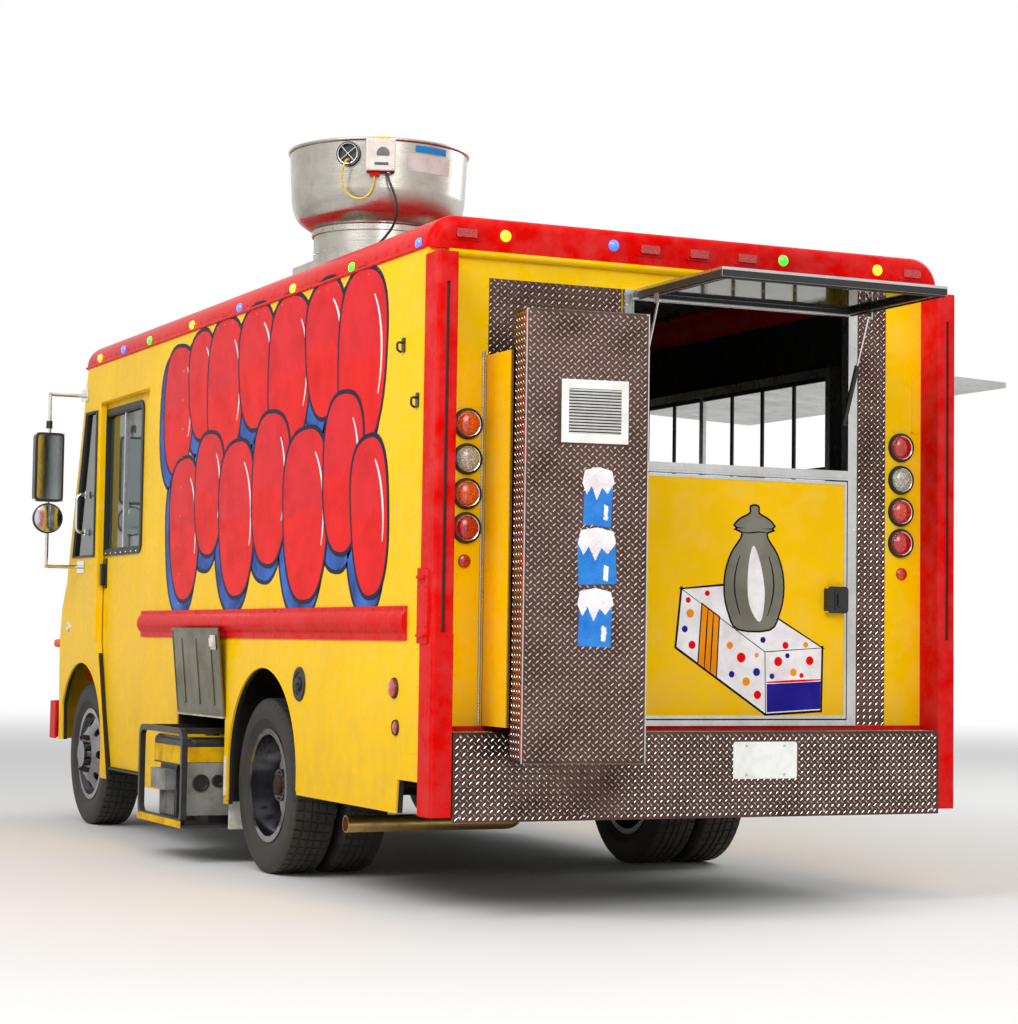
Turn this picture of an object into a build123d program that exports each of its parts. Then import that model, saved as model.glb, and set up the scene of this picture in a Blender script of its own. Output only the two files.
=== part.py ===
from build123d import *
import os
from math import cos, pi, radians, sin, tan

os.makedirs("parts", exist_ok=True)

# Frame: +Z up, ground at Z = 0, the truck faces -Y, its driver's side is +X.
# Y = 0 is the rear axle and X = 0 is the middle of the truck.

# Stance and wheels
wheelbase = 3125
front_overhang = 650
tyre_radius = 405.5
tyre_width = 225
tyre_inset = 35
twin_gap = 30
bead_radius = 247.5
flange_radius = 262
rim_width = 190
rim_wall = 12
seat_gap = 0.3
spindle_radius = 35
hub_radius = 75
hub_gap = 0.5
drum_radius = 190
kingpin_inset = 137.5
kingpin_radius = 16

# Body shell
body_half_width = 1215
wall_t = 30
floor_top = 751
floor_t = 40
skirt_z = 290
rear_skirt_z = 395
wall_top_z = 2650
roof_top_z = 2790
rear_wall_y = 1936
nose_face_y = -(wheelbase + front_overhang)
belt_z = 1060
cowl_z = 1400
cowl_depth = 135
windscreen_foot_y = nose_face_y + cowl_depth
windscreen_lean = 370
windscreen_head_y = windscreen_foot_y + windscreen_lean
corner_radius = 110
shoulder_radius = 125
cap_overhang = 25
nose_depth = 175
pillar_depth = 140

# Windscreen panes, grille and headlamps
pillar_half = 50
pane_margin = 45
pane_height = 960
pane_mid = 560
pane_radius = 60
grille_half_width = 550
grille_foot_z = 665
grille_height = 330
grille_bar = 24
headlamp_inset = 435
headlamp_z = 850
headlamp_r = 105

# Wheel arches
arch_radius_front = 465
arch_radius_rear = 485
arch_z = 470
arch_shift_front = -40
arch_shift_rear = 50
wheelhouse_gap = 10
wheelhouse_top_z = 960

# Cab doors, which slide back inside the side walls
door_setback = 420
door_front_y = windscreen_head_y + door_setback
door_width = 950
door_rear_y = door_front_y + door_width
door_top_z = 2420
door_foot_front_y = door_front_y + 250
door_lap = 25
door_t = 30
door_gap = 5
step_inner_x = 785
step_front_y = door_foot_front_y - 15
step_rear_y = door_rear_y - 5
step_foot_z = 330
# Window of a cab door: front, rear, foot, top
door_window = (door_front_y - 10, door_rear_y - 220, 1565, 2365)

# Rear door frame and its window hatch
lamp_strip = 239.5
frame_gap = 98.5
frame_bar = 44
frame_top_z = 2545
frame_proud = 24
transom_z = 1797
transom_h = 41
sill_h = 23
leaf_gap = 6
leaf_t = 30
latch_w = 110
latch_t = 30
latch_h = 109
latch_foot_z = 1230
hatch_axis_y = rear_wall_y + 32
hatch_axis_z = 2508
hatch_length = 704
hatch_t = 38
hatch_bar = 42
glass_t = 6

# Posts and rear bumper
post_inner_x = body_half_width - 81
post_outer_x = body_half_width + 7
post_depth = 135
post_foot_z = 400
post_top_z = 2620
slot_x = body_half_width - 35
slot_w = 15
slot_depth = 40
slot_foot_z = 1121
bumper_half_width = post_inner_x + 3
bumper_rear_y = rear_wall_y + 144
bumper_foot_z = 381
bumper_top_z = 731
plate_t = 8
licence_x = -272
licence_z = 614
licence_hole_x = 177.8
licence_hole_z = 120.65
licence_hole_r = 3.5
bumper_arm_x = 430
bumper_arm_w = 60

# Front bumper
front_bumper_inset = 15
front_bumper_reach = 235
front_bumper_turn = 210
front_bumper_foot_z = 466
front_bumper_height = 225
front_bumper_t = 14
front_bumper_radius = 100

# Tail lamps, roof markers and side markers
tail_lamp_x = body_half_width - 185
tail_lamp_proud = 30
marker_half = 55
marker_foot_z = 2690
marker_height = 45
marker_t = 20

# Vented locker on the rear wall
locker_left_x = tail_lamp_x - 85
locker_width = 505
locker_depth = 245
locker_foot_z = floor_top + 2
locker_top_z = 2232
sheet_t = 15
locker_door_depth = 155
locker_door_foot_z = 620
locker_door_top_z = 2378
locker_door_ajar = 8

# Curb-side serving hatch
serve_front_y = -1264
serve_rear_y = 1136
serve_foot_z = 1480
serve_top_z = 2360
serve_axis_x = -(body_half_width + 14)
serve_axis_z = 2390
serve_length = 930
serve_t = 25
serve_droop = 2.5
serve_mullion = 40

# Generator drawer in the driver's side
bay_front_y = -1264
bay_rear_y = -490
bay_top_z = floor_top - floor_t - 9
drawer_gap = 19
generator_height = 463
generator_top_z = bay_top_z - 54
generator_foot_z = generator_top_z - generator_height
generator_inner_x = body_half_width - 255
generator_outer_x = body_half_width + 205
tube_r = 14
flap_length = 430
flap_t = 6
flap_lean = 5.5
flap_axis_x = body_half_width + 9

# Rub rails
rail_front_y = -1945
rail_rear_y = 1790
rail_foot_z = 1085
rail_top_z = 1225
rail_proud = 28

# Roof fan: a square curb, a round neck and a spun bowl with a rolled rim
fan_x = 600
fan_y = -160
fan_rim_r = 432
fan_rim_z = 3450
fan_wall = 14
fan_roll = 9
fan_curb = 640
fan_curb_height = 120
fan_neck_r = 310
fan_waist_z = fan_rim_z - 390
fan_motor_r = 165
fan_motor_height = 215
fan_vent_angle = 49
fan_vent_r = 58
fan_vent_z = fan_rim_z - 78
fan_box_angle = 69.4
fan_box_w = 134
fan_box_depth = 62
fan_box_height = 148
fan_box_foot_z = fan_rim_z - 166
cable_r = 6
loop_cable_r = 5

# Mirrors on tube arms
mirror_reach = 200
mirror_y = windscreen_head_y + 8
mirror_head = (165, 55, 400)
mirror_head_foot_z = 1870
mirror_round_r = 85
mirror_round_z = 1770
mirror_tube_r = 11

# Kitchen
cook_depth = 720
cook_height = 749
counter_depth = 520
counter_height = 649
kitchen_gap = 45
hood_foot_z = 2150
hood_depth = 640

# Struts of both hatches: the eyes turn beside a tab below the hatch
strut_tube_r = 11
strut_rod_r = 5
strut_eye_r = 8
strut_eye_half = 6
tab_t = 5
tab_drop = 38
hatch_strut_arm = 170
hatch_strut_drop = 470
hatch_eye_drop = 28
serve_strut_arm = 200
serve_strut_drop = 560
serve_eye_drop = 27

# Hinge pins
pin_r = 5
thin_pin_r = 3
flap_pin_r = 4


def box(x0, x1, y0, y1, z0, z1):
    """Add a plain block between two corners."""
    with Locations(((x0 + x1) / 2, (y0 + y1) / 2, (z0 + z1) / 2)):
        Box(abs(x1 - x0), abs(y1 - y0), abs(z1 - z0))


def cut_box(x0, x1, y0, y1, z0, z1):
    """Cut a plain block between two corners."""
    with Locations(((x0 + x1) / 2, (y0 + y1) / 2, (z0 + z1) / 2)):
        Box(abs(x1 - x0), abs(y1 - y0), abs(z1 - z0), mode=Mode.SUBTRACT)


def side_plane(x):
    """Plane across X: sketch x runs along Y and sketch y runs up."""
    return Plane(origin=(x, 0, 0), x_dir=(0, 1, 0), z_dir=(1, 0, 0))


def back_plane(y):
    """Plane across Y: sketch x runs along X and sketch y runs up."""
    return Plane(origin=(0, y, 0), x_dir=(1, 0, 0), z_dir=(0, -1, 0))


def save(piece, name):
    """Label a finished piece and write it."""
    piece.label = name
    export_step(piece, f"parts/{name}.step")


# Sides: name, sign of X
SIDES = (("left", 1), ("right", -1))

tyre_face_x = body_half_width - tyre_inset
tyre_mid_x = tyre_face_x - tyre_width / 2
inner_tyre_x = tyre_mid_x - tyre_width - twin_gap
kingpin_x = tyre_mid_x - kingpin_inset
wheelhouse_inner_x = inner_tyre_x - tyre_width / 2 - wheelhouse_gap
front_axle_y = -wheelbase
rail_x = 430
rail_w = 70
rail_foot = 500
rail_top = 690
rail_front = nose_face_y + 75
rail_rear = rear_wall_y - 36

# Chassis: two rails and cross members
with BuildPart() as chassis_frame:
    for sign in (1, -1):
        box(sign * (rail_x - rail_w / 2), sign * (rail_x + rail_w / 2), rail_front, rail_rear, rail_foot, rail_top)
        cut_box(sign * (rail_x - rail_w / 2), sign * (rail_x + rail_w / 2 - 8), rail_front, rail_rear,
                rail_foot + 10, rail_top - 10)
    for cross_y in (rail_front + 50, front_axle_y + 625, -1400, -700, 700, rail_rear - 50):
        box(-(rail_x - rail_w / 2) - 10, rail_x - rail_w / 2 + 10, cross_y - 30, cross_y + 30,
            rail_foot + 20, rail_top - 20)
        for sign in (1, -1):
            box(sign * (rail_x - rail_w / 2), sign * (rail_x + rail_w / 2 - 8), cross_y - 30, cross_y + 30,
                rail_foot + 10, rail_top - 10)
save(chassis_frame.part, "chassis_frame")

# Engine: one plain block between the seats
engine_front = nose_face_y + nose_depth
engine_rear = engine_front + 800
with BuildPart() as engine:
    box(-300, 300, engine_front, engine_rear, rail_top + 1, 1140)
    box(-250, 250, engine_front + 40, engine_rear - 40, 520, rail_top + 1)
    for sign in (1, -1):
        box(sign * 290, sign * (rail_x + 15), engine_rear - 350, engine_rear - 250,
            rail_top + seat_gap, rail_top + 14)
save(engine.part, "engine")

# Front axle: a beam that dips between the knuckles, on two leaf springs
with BuildPart() as front_axle:
    with BuildSketch(side_plane(-kingpin_x + 60)):
        with Locations((front_axle_y, 350)):
            Rectangle(70, 90)
    extrude(amount=2 * (kingpin_x - 60))
    for sign in (1, -1):
        box(sign * (kingpin_x - 60), sign * (kingpin_x + 40), front_axle_y - 35, front_axle_y + 35, 300, 340)
        box(sign * (kingpin_x - 60), sign * (kingpin_x + 40), front_axle_y - 35, front_axle_y + 35, 465, 505)
        box(sign * (kingpin_x - 60), sign * (kingpin_x - 40), front_axle_y - 35, front_axle_y + 35, 300, 505)
        with Locations((sign * kingpin_x, front_axle_y, 402.5)):
            Cylinder(kingpin_radius, 205)
        box(sign * 395, sign * 465, front_axle_y - 480, front_axle_y + 480, 395, 425)
        for end in (-465, 465):
            box(sign * 395, sign * 465, front_axle_y + end - 15, front_axle_y + end + 15, 425, rail_foot)
save(front_axle.part, "front_axle")

# Rear axle: a tube with the differential in the middle, on two leaf springs
with BuildPart() as rear_axle:
    with Locations(Location((0, 0, tyre_radius), (0, 90, 0))):
        Cylinder(55, 2 * (inner_tyre_x - 105))
        Cylinder(170, 200)
        Cylinder(spindle_radius, 2 * (tyre_mid_x + 15))
    for sign in (1, -1):
        box(sign * 395, sign * 465, -620, 620, 452, 484)
        for end in (-600, 600):
            box(sign * 395, sign * 465, end - 20, end + 20, 484, rail_foot)
save(rear_axle.part, "rear_axle")

# Knuckles carry the front wheels
for side, sign in SIDES:
    with BuildPart() as knuckle:
        with Locations((sign * kingpin_x, front_axle_y, tyre_radius)):
            Cylinder(34, 110)
            Cylinder(kingpin_radius + seat_gap, 110, mode=Mode.SUBTRACT)
        with Locations(Location((sign * (kingpin_x + 30 + 105), front_axle_y, tyre_radius), (0, 90, 0))):
            Cylinder(spindle_radius, 210)
        with Locations(Location((sign * (kingpin_x + 40), front_axle_y, tyre_radius), (0, 90, 0))):
            Cylinder(55, 20)
        with Locations((sign * kingpin_x, front_axle_y, tyre_radius)):
            Cylinder(kingpin_radius + seat_gap, 110, mode=Mode.SUBTRACT)
    save(knuckle.part, f"knuckle_{side}")


def wheel_plane(x, y, sign):
    """Half section of a wheel: sketch x runs outward along the axle, sketch y is the radius."""
    return Plane(origin=(x, y, tyre_radius), x_dir=(sign, 0, 0), z_dir=(0, -sign, 0))


# Tyre section: distance from the middle, radius
TYRE_SECTION = (
    (85, bead_radius + seat_gap),
    (85, 268),
    (107, 300),
    (tyre_width / 2, 335),
    (108, 378),
    (96, tyre_radius),
)


def tyre_ring(x, y, sign):
    """Add one tyre around the axle line."""
    revolved([(-d, r) for d, r in TYRE_SECTION] + [(d, r) for d, r in reversed(TYRE_SECTION)], x, y, sign)


def revolved(points, x, y, sign, mode=Mode.ADD):
    """Turn a half section around the axle line."""
    with BuildSketch(wheel_plane(x, y, sign)) as half_section:
        with BuildLine():
            Polyline(*points, close=True)
        make_face()
    revolve(half_section.sketch, axis=Axis((x, y, tyre_radius), (1, 0, 0)), mode=mode)


half_rim = rim_width / 2
barrel_inner = bead_radius - rim_wall
RIM_BARREL = (
    (-half_rim, barrel_inner),
    (half_rim, barrel_inner),
    (half_rim, flange_radius),
    (half_rim - 9, flange_radius),
    (half_rim - 9, bead_radius),
    (-half_rim + 9, bead_radius),
    (-half_rim + 9, flange_radius),
    (-half_rim, flange_radius),
)
disc_t = 12
front_face = 118
FRONT_DISC = (
    (40, barrel_inner + 4),
    (40 + disc_t, barrel_inner + 4),
    (front_face, 125),
    (front_face, hub_radius - 5),
    (front_face - disc_t, hub_radius - 5),
    (front_face - disc_t, 120),
)
twin_half = (tyre_width + twin_gap) / 2
REAR_DISC = (
    (-40, barrel_inner + 4),
    (-40 - disc_t, barrel_inner + 4),
    (-twin_half, 130),
    (-twin_half, hub_radius - 5),
    (-twin_half + disc_t, hub_radius - 5),
    (-twin_half + disc_t, 125),
)

hand_hole_r = 24
hand_hole_ring = 178
hand_holes = 8


def cut_hand_holes(x, y):
    """Cut the ring of hand holes through one wheel disc."""
    with Locations(Location((x, y, tyre_radius), (0, 90, 0))):
        with PolarLocations(hand_hole_ring, hand_holes):
            Cylinder(hand_hole_r, 90, mode=Mode.SUBTRACT)


for side, sign in SIDES:
    with BuildPart() as tyre_front:
        tyre_ring(sign * tyre_mid_x, front_axle_y, sign)
    save(tyre_front.part, f"tyre_front_{side}")

    with BuildPart() as rim_front:
        revolved(RIM_BARREL, sign * tyre_mid_x, front_axle_y, sign)
        revolved(FRONT_DISC, sign * tyre_mid_x, front_axle_y, sign)
        hub_back = kingpin_x + 62 - tyre_mid_x
        revolved(((hub_back, spindle_radius + hub_gap), (hub_back, hub_radius), (front_face + 30, hub_radius),
                  (front_face + 30, 0), (front_face, 0), (front_face, spindle_radius + hub_gap)),
                 sign * tyre_mid_x, front_axle_y, sign)
        cut_hand_holes(sign * (tyre_mid_x + 85), front_axle_y)
    save(rim_front.part, f"rim_front_{side}")

    with BuildPart() as tyres_rear:
        tyre_ring(sign * tyre_mid_x, 0, sign)
        tyre_ring(sign * inner_tyre_x, 0, sign)
    save(tyres_rear.part, f"tyres_rear_{side}")

    with BuildPart() as rims_rear:
        revolved(RIM_BARREL, sign * tyre_mid_x, 0, sign)
        revolved(REAR_DISC, sign * tyre_mid_x, 0, sign)
        revolved(RIM_BARREL, sign * inner_tyre_x, 0, sign)
        revolved([(-d, r) for d, r in REAR_DISC], sign * inner_tyre_x, 0, sign)
        revolved(((-200, spindle_radius + hub_gap), (-200, drum_radius), (-twin_half - 12, drum_radius),
                  (-twin_half - 12, hub_radius), (40, hub_radius), (40, 0), (20, 0), (20, spindle_radius + hub_gap)),
                 sign * tyre_mid_x, 0, sign)
        cut_hand_holes(sign * (tyre_mid_x - 80), 0)
    save(rims_rear.part, f"rims_rear_{side}")

# Exhaust: a pipe down the driver's side of the frame that turns out behind the rear axle
EXHAUST_ROUTE = (
    (300, -2600, 430),
    (300, -520, 430),
    (300, -230, 560),
    (300, 230, 560),
    (300, 520, 430),
    (300, 860, 400),
    (360, 1000, 300),
    (body_half_width - 57, 1000, 300),
)
with BuildPart() as exhaust:
    with BuildLine() as exhaust_path:
        FilletPolyline(*EXHAUST_ROUTE, radius=70)
    with BuildSketch(Plane(origin=exhaust_path.line @ 0, z_dir=exhaust_path.line % 0)):
        Circle(36)
    sweep()
    with Locations(Location((300, -1050, 430), (90, 0, 0))):
        Cylinder(85, 560)
    for hanger_y in (-1400, -700, 700):
        box(288, 312, hanger_y - 12, hanger_y + 12, 430, rail_foot + 20 - seat_gap)
    with Locations(Location(EXHAUST_ROUTE[-1], (0, 90, 0))):
        Cylinder(33, 120, mode=Mode.SUBTRACT)
save(exhaust.part, "exhaust")

# Fuel tank between the rails behind the rear axle
with BuildPart() as fuel_tank:
    box(-300, 150, 760, 1180, 460, floor_top - floor_t - seat_gap)
    fillet(fuel_tank.edges().filter_by(Axis.Z), 40)
save(fuel_tank.part, "fuel_tank")

# Floor: the deck, the wheelhouse boxes, the cab steps and the runners of the generator drawer
gen_y0 = bay_front_y + drawer_gap
gen_y1 = bay_rear_y - drawer_gap
arch_front_y = front_axle_y + arch_shift_front
floor_inner_x = body_half_width - wall_t
slide_x = floor_inner_x - 2 * door_gap - door_t
floor_front = nose_face_y + nose_depth + 40
with BuildPart() as floor:
    box(-floor_inner_x, floor_inner_x, floor_front, rear_wall_y, floor_top - floor_t, floor_top)
    box(-post_inner_x + 4, post_inner_x - 4, rear_wall_y, rear_wall_y + 10, floor_top - 20, floor_top)
    for sign in (1, -1):
        cut_box(sign * slide_x, sign * (floor_inner_x + 1), floor_front, serve_front_y,
                floor_top - floor_t, floor_top)
        box(sign * wheelhouse_inner_x, sign * slide_x, floor_front, step_front_y - sheet_t,
            floor_top - floor_t, wheelhouse_top_z)
        cut_box(sign * (wheelhouse_inner_x + sheet_t), sign * slide_x, floor_front, step_front_y - 2 * sheet_t,
                floor_top - floor_t, wheelhouse_top_z - sheet_t)
        box(sign * (wheelhouse_inner_x - 35), sign * floor_inner_x, -500, 580, floor_top - floor_t,
            wheelhouse_top_z + 15)
        cut_box(sign * (wheelhouse_inner_x - 20), sign * floor_inner_x, -485, 565, floor_top - floor_t,
                wheelhouse_top_z)
        cut_box(sign * (step_inner_x + sheet_t), sign * floor_inner_x, step_front_y + sheet_t,
                step_rear_y - sheet_t, floor_top - floor_t, floor_top)
        box(sign * step_inner_x, sign * slide_x, step_front_y, step_rear_y, step_foot_z, step_foot_z + sheet_t)
        box(sign * step_inner_x, sign * (step_inner_x + sheet_t), step_front_y, step_rear_y,
            step_foot_z, floor_top)
        box(sign * step_inner_x, sign * slide_x, step_front_y, step_front_y + sheet_t, step_foot_z, floor_top)
        box(sign * step_inner_x, sign * slide_x, step_rear_y - sheet_t, step_rear_y, step_foot_z, floor_top)
    for sill_y in (door_rear_y - 100, -1000, 600, 1500):
        box(-step_inner_x, step_inner_x, sill_y - 30, sill_y + 30, rail_top, floor_top - floor_t)
    cut_box(-310, 310, floor_front, engine_rear + 10, floor_top - floor_t, floor_top)
    for hanger_y, runner_y in ((bay_front_y, gen_y0 - seat_gap), (bay_rear_y, gen_y1 + seat_gap)):
        box(560, floor_inner_x, hanger_y - 6, hanger_y + 6, generator_foot_z - 20, floor_top - floor_t)
        box(560, floor_inner_x, hanger_y, runner_y, generator_foot_z - 20, generator_foot_z)
save(floor.part, "floor")

# Side walls
pillar_foot_y = windscreen_foot_y + pillar_depth
pillar_head_y = windscreen_head_y + pillar_depth
front_edge = (
    (floor_front, skirt_z + 180),
    (nose_face_y + nose_depth, belt_z),
    (pillar_foot_y, cowl_z),
    (pillar_head_y, wall_top_z),
)
# Quarter window corners: along Y, up
QUARTER_WINDOW = (
    (door_front_y - 100, 1550),
    (windscreen_foot_y + 245, 1550),
    (windscreen_head_y + 105, 2385),
    (door_front_y - 100, 2385),
)


def wall_slab(sign):
    """Plate of one side wall with its arches, door and quarter window cut."""
    inner = sign * (body_half_width - wall_t) if sign > 0 else sign * body_half_width
    with BuildSketch(side_plane(inner)) as outline:
        with BuildLine():
            Polyline(*front_edge, (rear_wall_y, wall_top_z), (rear_wall_y, 530), (1715, 530),
                     (1700, rear_skirt_z), (arch_shift_rear, rear_skirt_z), (arch_shift_rear, skirt_z),
                     (arch_front_y, skirt_z), (arch_front_y, skirt_z + 180), close=True)
        make_face()
        for mid_y, r in ((arch_front_y, arch_radius_front), (arch_shift_rear, arch_radius_rear)):
            with Locations((mid_y, arch_z)):
                Circle(r, mode=Mode.SUBTRACT)
            with Locations((mid_y, arch_z - 150)):
                Rectangle(2 * r, 300, mode=Mode.SUBTRACT)
        with BuildLine():
            Polyline((door_rear_y, skirt_z - 1), (door_foot_front_y, skirt_z - 1), (door_front_y, belt_z),
                     (door_front_y, door_top_z), (door_rear_y, door_top_z), close=True)
        make_face(mode=Mode.SUBTRACT)
        with BuildLine():
            Polyline(*QUARTER_WINDOW, close=True)
        make_face(mode=Mode.SUBTRACT)
    extrude(outline.sketch, amount=wall_t)


def door_track(sign):
    """Track above a cab door, on the inside of the side wall."""
    track_z = door_top_z + door_lap + seat_gap
    box(sign * (floor_inner_x - door_gap - door_t), sign * (floor_inner_x + 1), door_front_y - door_lap,
        serve_front_y - 36, track_z, track_z + 12)


with BuildPart() as side_wall_left:
    wall_slab(1)
    door_track(1)
    cut_box(floor_inner_x - 1, body_half_width + 1, bay_front_y, bay_rear_y, 0, bay_top_z)
    box(floor_inner_x, flap_axis_x, bay_front_y + 15, bay_rear_y - 15, bay_top_z - flap_pin_r, bay_top_z + 2)
    with Locations(Location((flap_axis_x, (bay_front_y + bay_rear_y) / 2, bay_top_z), (90, 0, 0))):
        Cylinder(flap_pin_r, bay_rear_y - bay_front_y - 30)
save(side_wall_left.part, "side_wall_left")

with BuildPart() as side_wall_right:
    wall_slab(-1)
    door_track(-1)
    cut_box(-body_half_width - 1, -floor_inner_x + 1, serve_front_y, serve_rear_y, serve_foot_z, serve_top_z)
    box(serve_axis_x, -floor_inner_x, serve_front_y, serve_rear_y, serve_axis_z - 3, serve_axis_z + 3)
    with Locations(Location((serve_axis_x, (serve_front_y + serve_rear_y) / 2, serve_axis_z), (90, 0, 0))):
        Cylinder(pin_r, serve_rear_y - serve_front_y)
save(side_wall_right.part, "side_wall_right")

# Nose: cowl and windscreen frame, rounded at its corners and hollow
windscreen_up = Vector(0, windscreen_head_y - windscreen_foot_y, wall_top_z - cowl_z).normalized()
windscreen_plane = Plane(origin=(0, windscreen_foot_y, cowl_z), x_dir=(1, 0, 0),
                         z_dir=Vector(1, 0, 0).cross(windscreen_up))
# Nose sections: height, front, back
hood_bend = 200 / (cowl_z - belt_z)
NOSE_SECTIONS = (
    (skirt_z + 180, nose_face_y + 35, floor_front),
    (belt_z, nose_face_y, nose_face_y + nose_depth),
    (belt_z + 200, nose_face_y + cowl_depth / 3,
     (nose_face_y + nose_depth) * (1 - hood_bend) + pillar_foot_y * hood_bend),
    (cowl_z, windscreen_foot_y, pillar_foot_y),
    (wall_top_z, windscreen_head_y, pillar_head_y),
)


def nose_section(z, front_y, back_y, inset):
    """Plan of the nose at one height, with its front corners rounded."""
    half = body_half_width - inset
    with BuildSketch(Plane.XY.offset(z)) as plan:
        with BuildLine():
            FilletPolyline((half, back_y), (half, front_y + inset), (-half, front_y + inset), (-half, back_y),
                           radius=corner_radius - inset)
            Line((-half, back_y), (half, back_y))
        make_face()
    return plan.sketch


pane_width = body_half_width - corner_radius - pane_margin - pillar_half
pane_mid_x = pillar_half + pane_width / 2
lamp_x = body_half_width - headlamp_inset
with BuildPart() as nose:
    loft([nose_section(z, front_y, back_y, 0) for z, front_y, back_y in NOSE_SECTIONS], ruled=True)
    loft([nose_section(z, front_y, back_y + 60, wall_t) for z, front_y, back_y in NOSE_SECTIONS], ruled=True,
         mode=Mode.SUBTRACT)
    with BuildSketch(windscreen_plane):
        with Locations((pane_mid_x, pane_mid), (-pane_mid_x, pane_mid)):
            RectangleRounded(pane_width, pane_height, pane_radius)
    extrude(amount=80, both=True, mode=Mode.SUBTRACT)
    with BuildSketch(back_plane(nose_face_y - 20)):
        with Locations((0, grille_foot_z + grille_height / 2)):
            RectangleRounded(2 * grille_half_width, grille_height, 30)
    extrude(amount=-120, mode=Mode.SUBTRACT)
    for bar in range(4):
        bar_z = grille_foot_z + (bar + 0.8) * grille_height / 4.7
        box(-grille_half_width - 5, grille_half_width + 5, nose_face_y + 8, nose_face_y + 30,
            bar_z - grille_bar / 2, bar_z + grille_bar / 2)
    for sign in (1, -1):
        with Locations(Location((sign * lamp_x, nose_face_y, headlamp_z), (90, 0, 0))):
            Cylinder(headlamp_r, 160, mode=Mode.SUBTRACT)
        cut_box(sign * (rail_x - rail_w / 2), sign * (rail_x + rail_w / 2), nose_face_y - 10, rail_front + 10,
                535, 645)
save(nose.part, "nose")

# Glass: two windscreen panes and two quarter panes
with BuildPart() as cab_glass:
    with BuildSketch(windscreen_plane.offset(-10)):
        with Locations((pane_mid_x, pane_mid), (-pane_mid_x, pane_mid)):
            RectangleRounded(pane_width - 2 * seat_gap, pane_height - 2 * seat_gap, pane_radius - seat_gap)
    extrude(amount=-glass_t)
    for sign in (1, -1):
        with BuildSketch(side_plane(sign * (body_half_width - 12))):
            with BuildLine():
                Polyline(*QUARTER_WINDOW, close=True)
            make_face()
            offset(amount=-seat_gap, kind=Kind.INTERSECTION, mode=Mode.REPLACE)
        extrude(amount=-sign * glass_t)
save(cab_glass.part, "cab_glass")

# Headlamps in the nose
with BuildPart() as headlamps:
    for sign in (1, -1):
        with Locations(Location((sign * lamp_x, nose_face_y + 30, headlamp_z), (90, 0, 0))):
            Cylinder(headlamp_r - seat_gap, 60)
save(headlamps.part, "headlamps")

# Front bumper: a channel with turned ends on two arms
bumper_x = body_half_width - front_bumper_inset
bumper_in_x = bumper_x - front_bumper_t
bumper_face_y = nose_face_y - front_bumper_reach
bumper_in_y = bumper_face_y + front_bumper_t
bumper_end_y = bumper_face_y + front_bumper_turn
with BuildPart() as front_bumper:
    with BuildSketch(Plane.XY.offset(front_bumper_foot_z)):
        with BuildLine():
            FilletPolyline((bumper_x, bumper_end_y), (bumper_x, bumper_face_y), (-bumper_x, bumper_face_y),
                           (-bumper_x, bumper_end_y), radius=front_bumper_radius)
            FilletPolyline((bumper_in_x, bumper_end_y), (bumper_in_x, bumper_in_y), (-bumper_in_x, bumper_in_y),
                           (-bumper_in_x, bumper_end_y), radius=front_bumper_radius - front_bumper_t)
            Line((bumper_x, bumper_end_y), (bumper_in_x, bumper_end_y))
            Line((-bumper_x, bumper_end_y), (-bumper_in_x, bumper_end_y))
        make_face()
    extrude(amount=front_bumper_height)
    for sign in (1, -1):
        box(sign * (bumper_arm_x - bumper_arm_w / 2), sign * (bumper_arm_x + bumper_arm_w / 2),
            bumper_face_y + 10, rail_front, 540, 640)
save(front_bumper.part, "front_bumper")

# Roof: a shallow cap with rounded shoulders, hollow below
def cap_section(y, half, top, radius):
    """Arched outline of the roof cap across the truck."""
    with BuildSketch(back_plane(y)) as section:
        with BuildLine():
            FilletPolyline((half, wall_top_z), (half, top), (-half, top), (-half, wall_top_z), radius=radius)
            Line((-half, wall_top_z), (half, wall_top_z))
        make_face()
    return section.sketch


cap_rear_y = rear_wall_y + cap_overhang
cap_front_y = windscreen_head_y - 5
with BuildPart() as roof:
    extrude(cap_section(cap_rear_y, body_half_width, roof_top_z, shoulder_radius),
            amount=cap_rear_y - cap_front_y)
    rear_rim = roof.faces().sort_by(Axis.Y)[-1].edges().filter_by(lambda edge: edge.center().Z > wall_top_z + 1)
    fillet(rear_rim, 45)
    front_rim = roof.faces().sort_by(Axis.Y)[0].edges().filter_by(lambda edge: edge.center().Z > wall_top_z + 1)
    fillet(front_rim, 90)
    extrude(cap_section(rear_wall_y - wall_t, floor_inner_x, roof_top_z - wall_t, shoulder_radius - wall_t),
            amount=rear_wall_y - wall_t - windscreen_head_y - 60, mode=Mode.SUBTRACT)
save(roof.part, "roof")

# Rear wall with the opening for its door frame
frame_x0 = lamp_strip - tail_lamp_x
frame_x1 = locker_left_x - locker_width - frame_gap
frame_mid_x = (frame_x0 + frame_x1) / 2
with BuildPart() as rear_wall:
    box(-floor_inner_x, floor_inner_x, rear_wall_y - wall_t, rear_wall_y, floor_top, wall_top_z)
    cut_box(frame_x0, frame_x1, rear_wall_y - wall_t, rear_wall_y, floor_top, frame_top_z)
save(rear_wall.part, "rear_wall")

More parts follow.
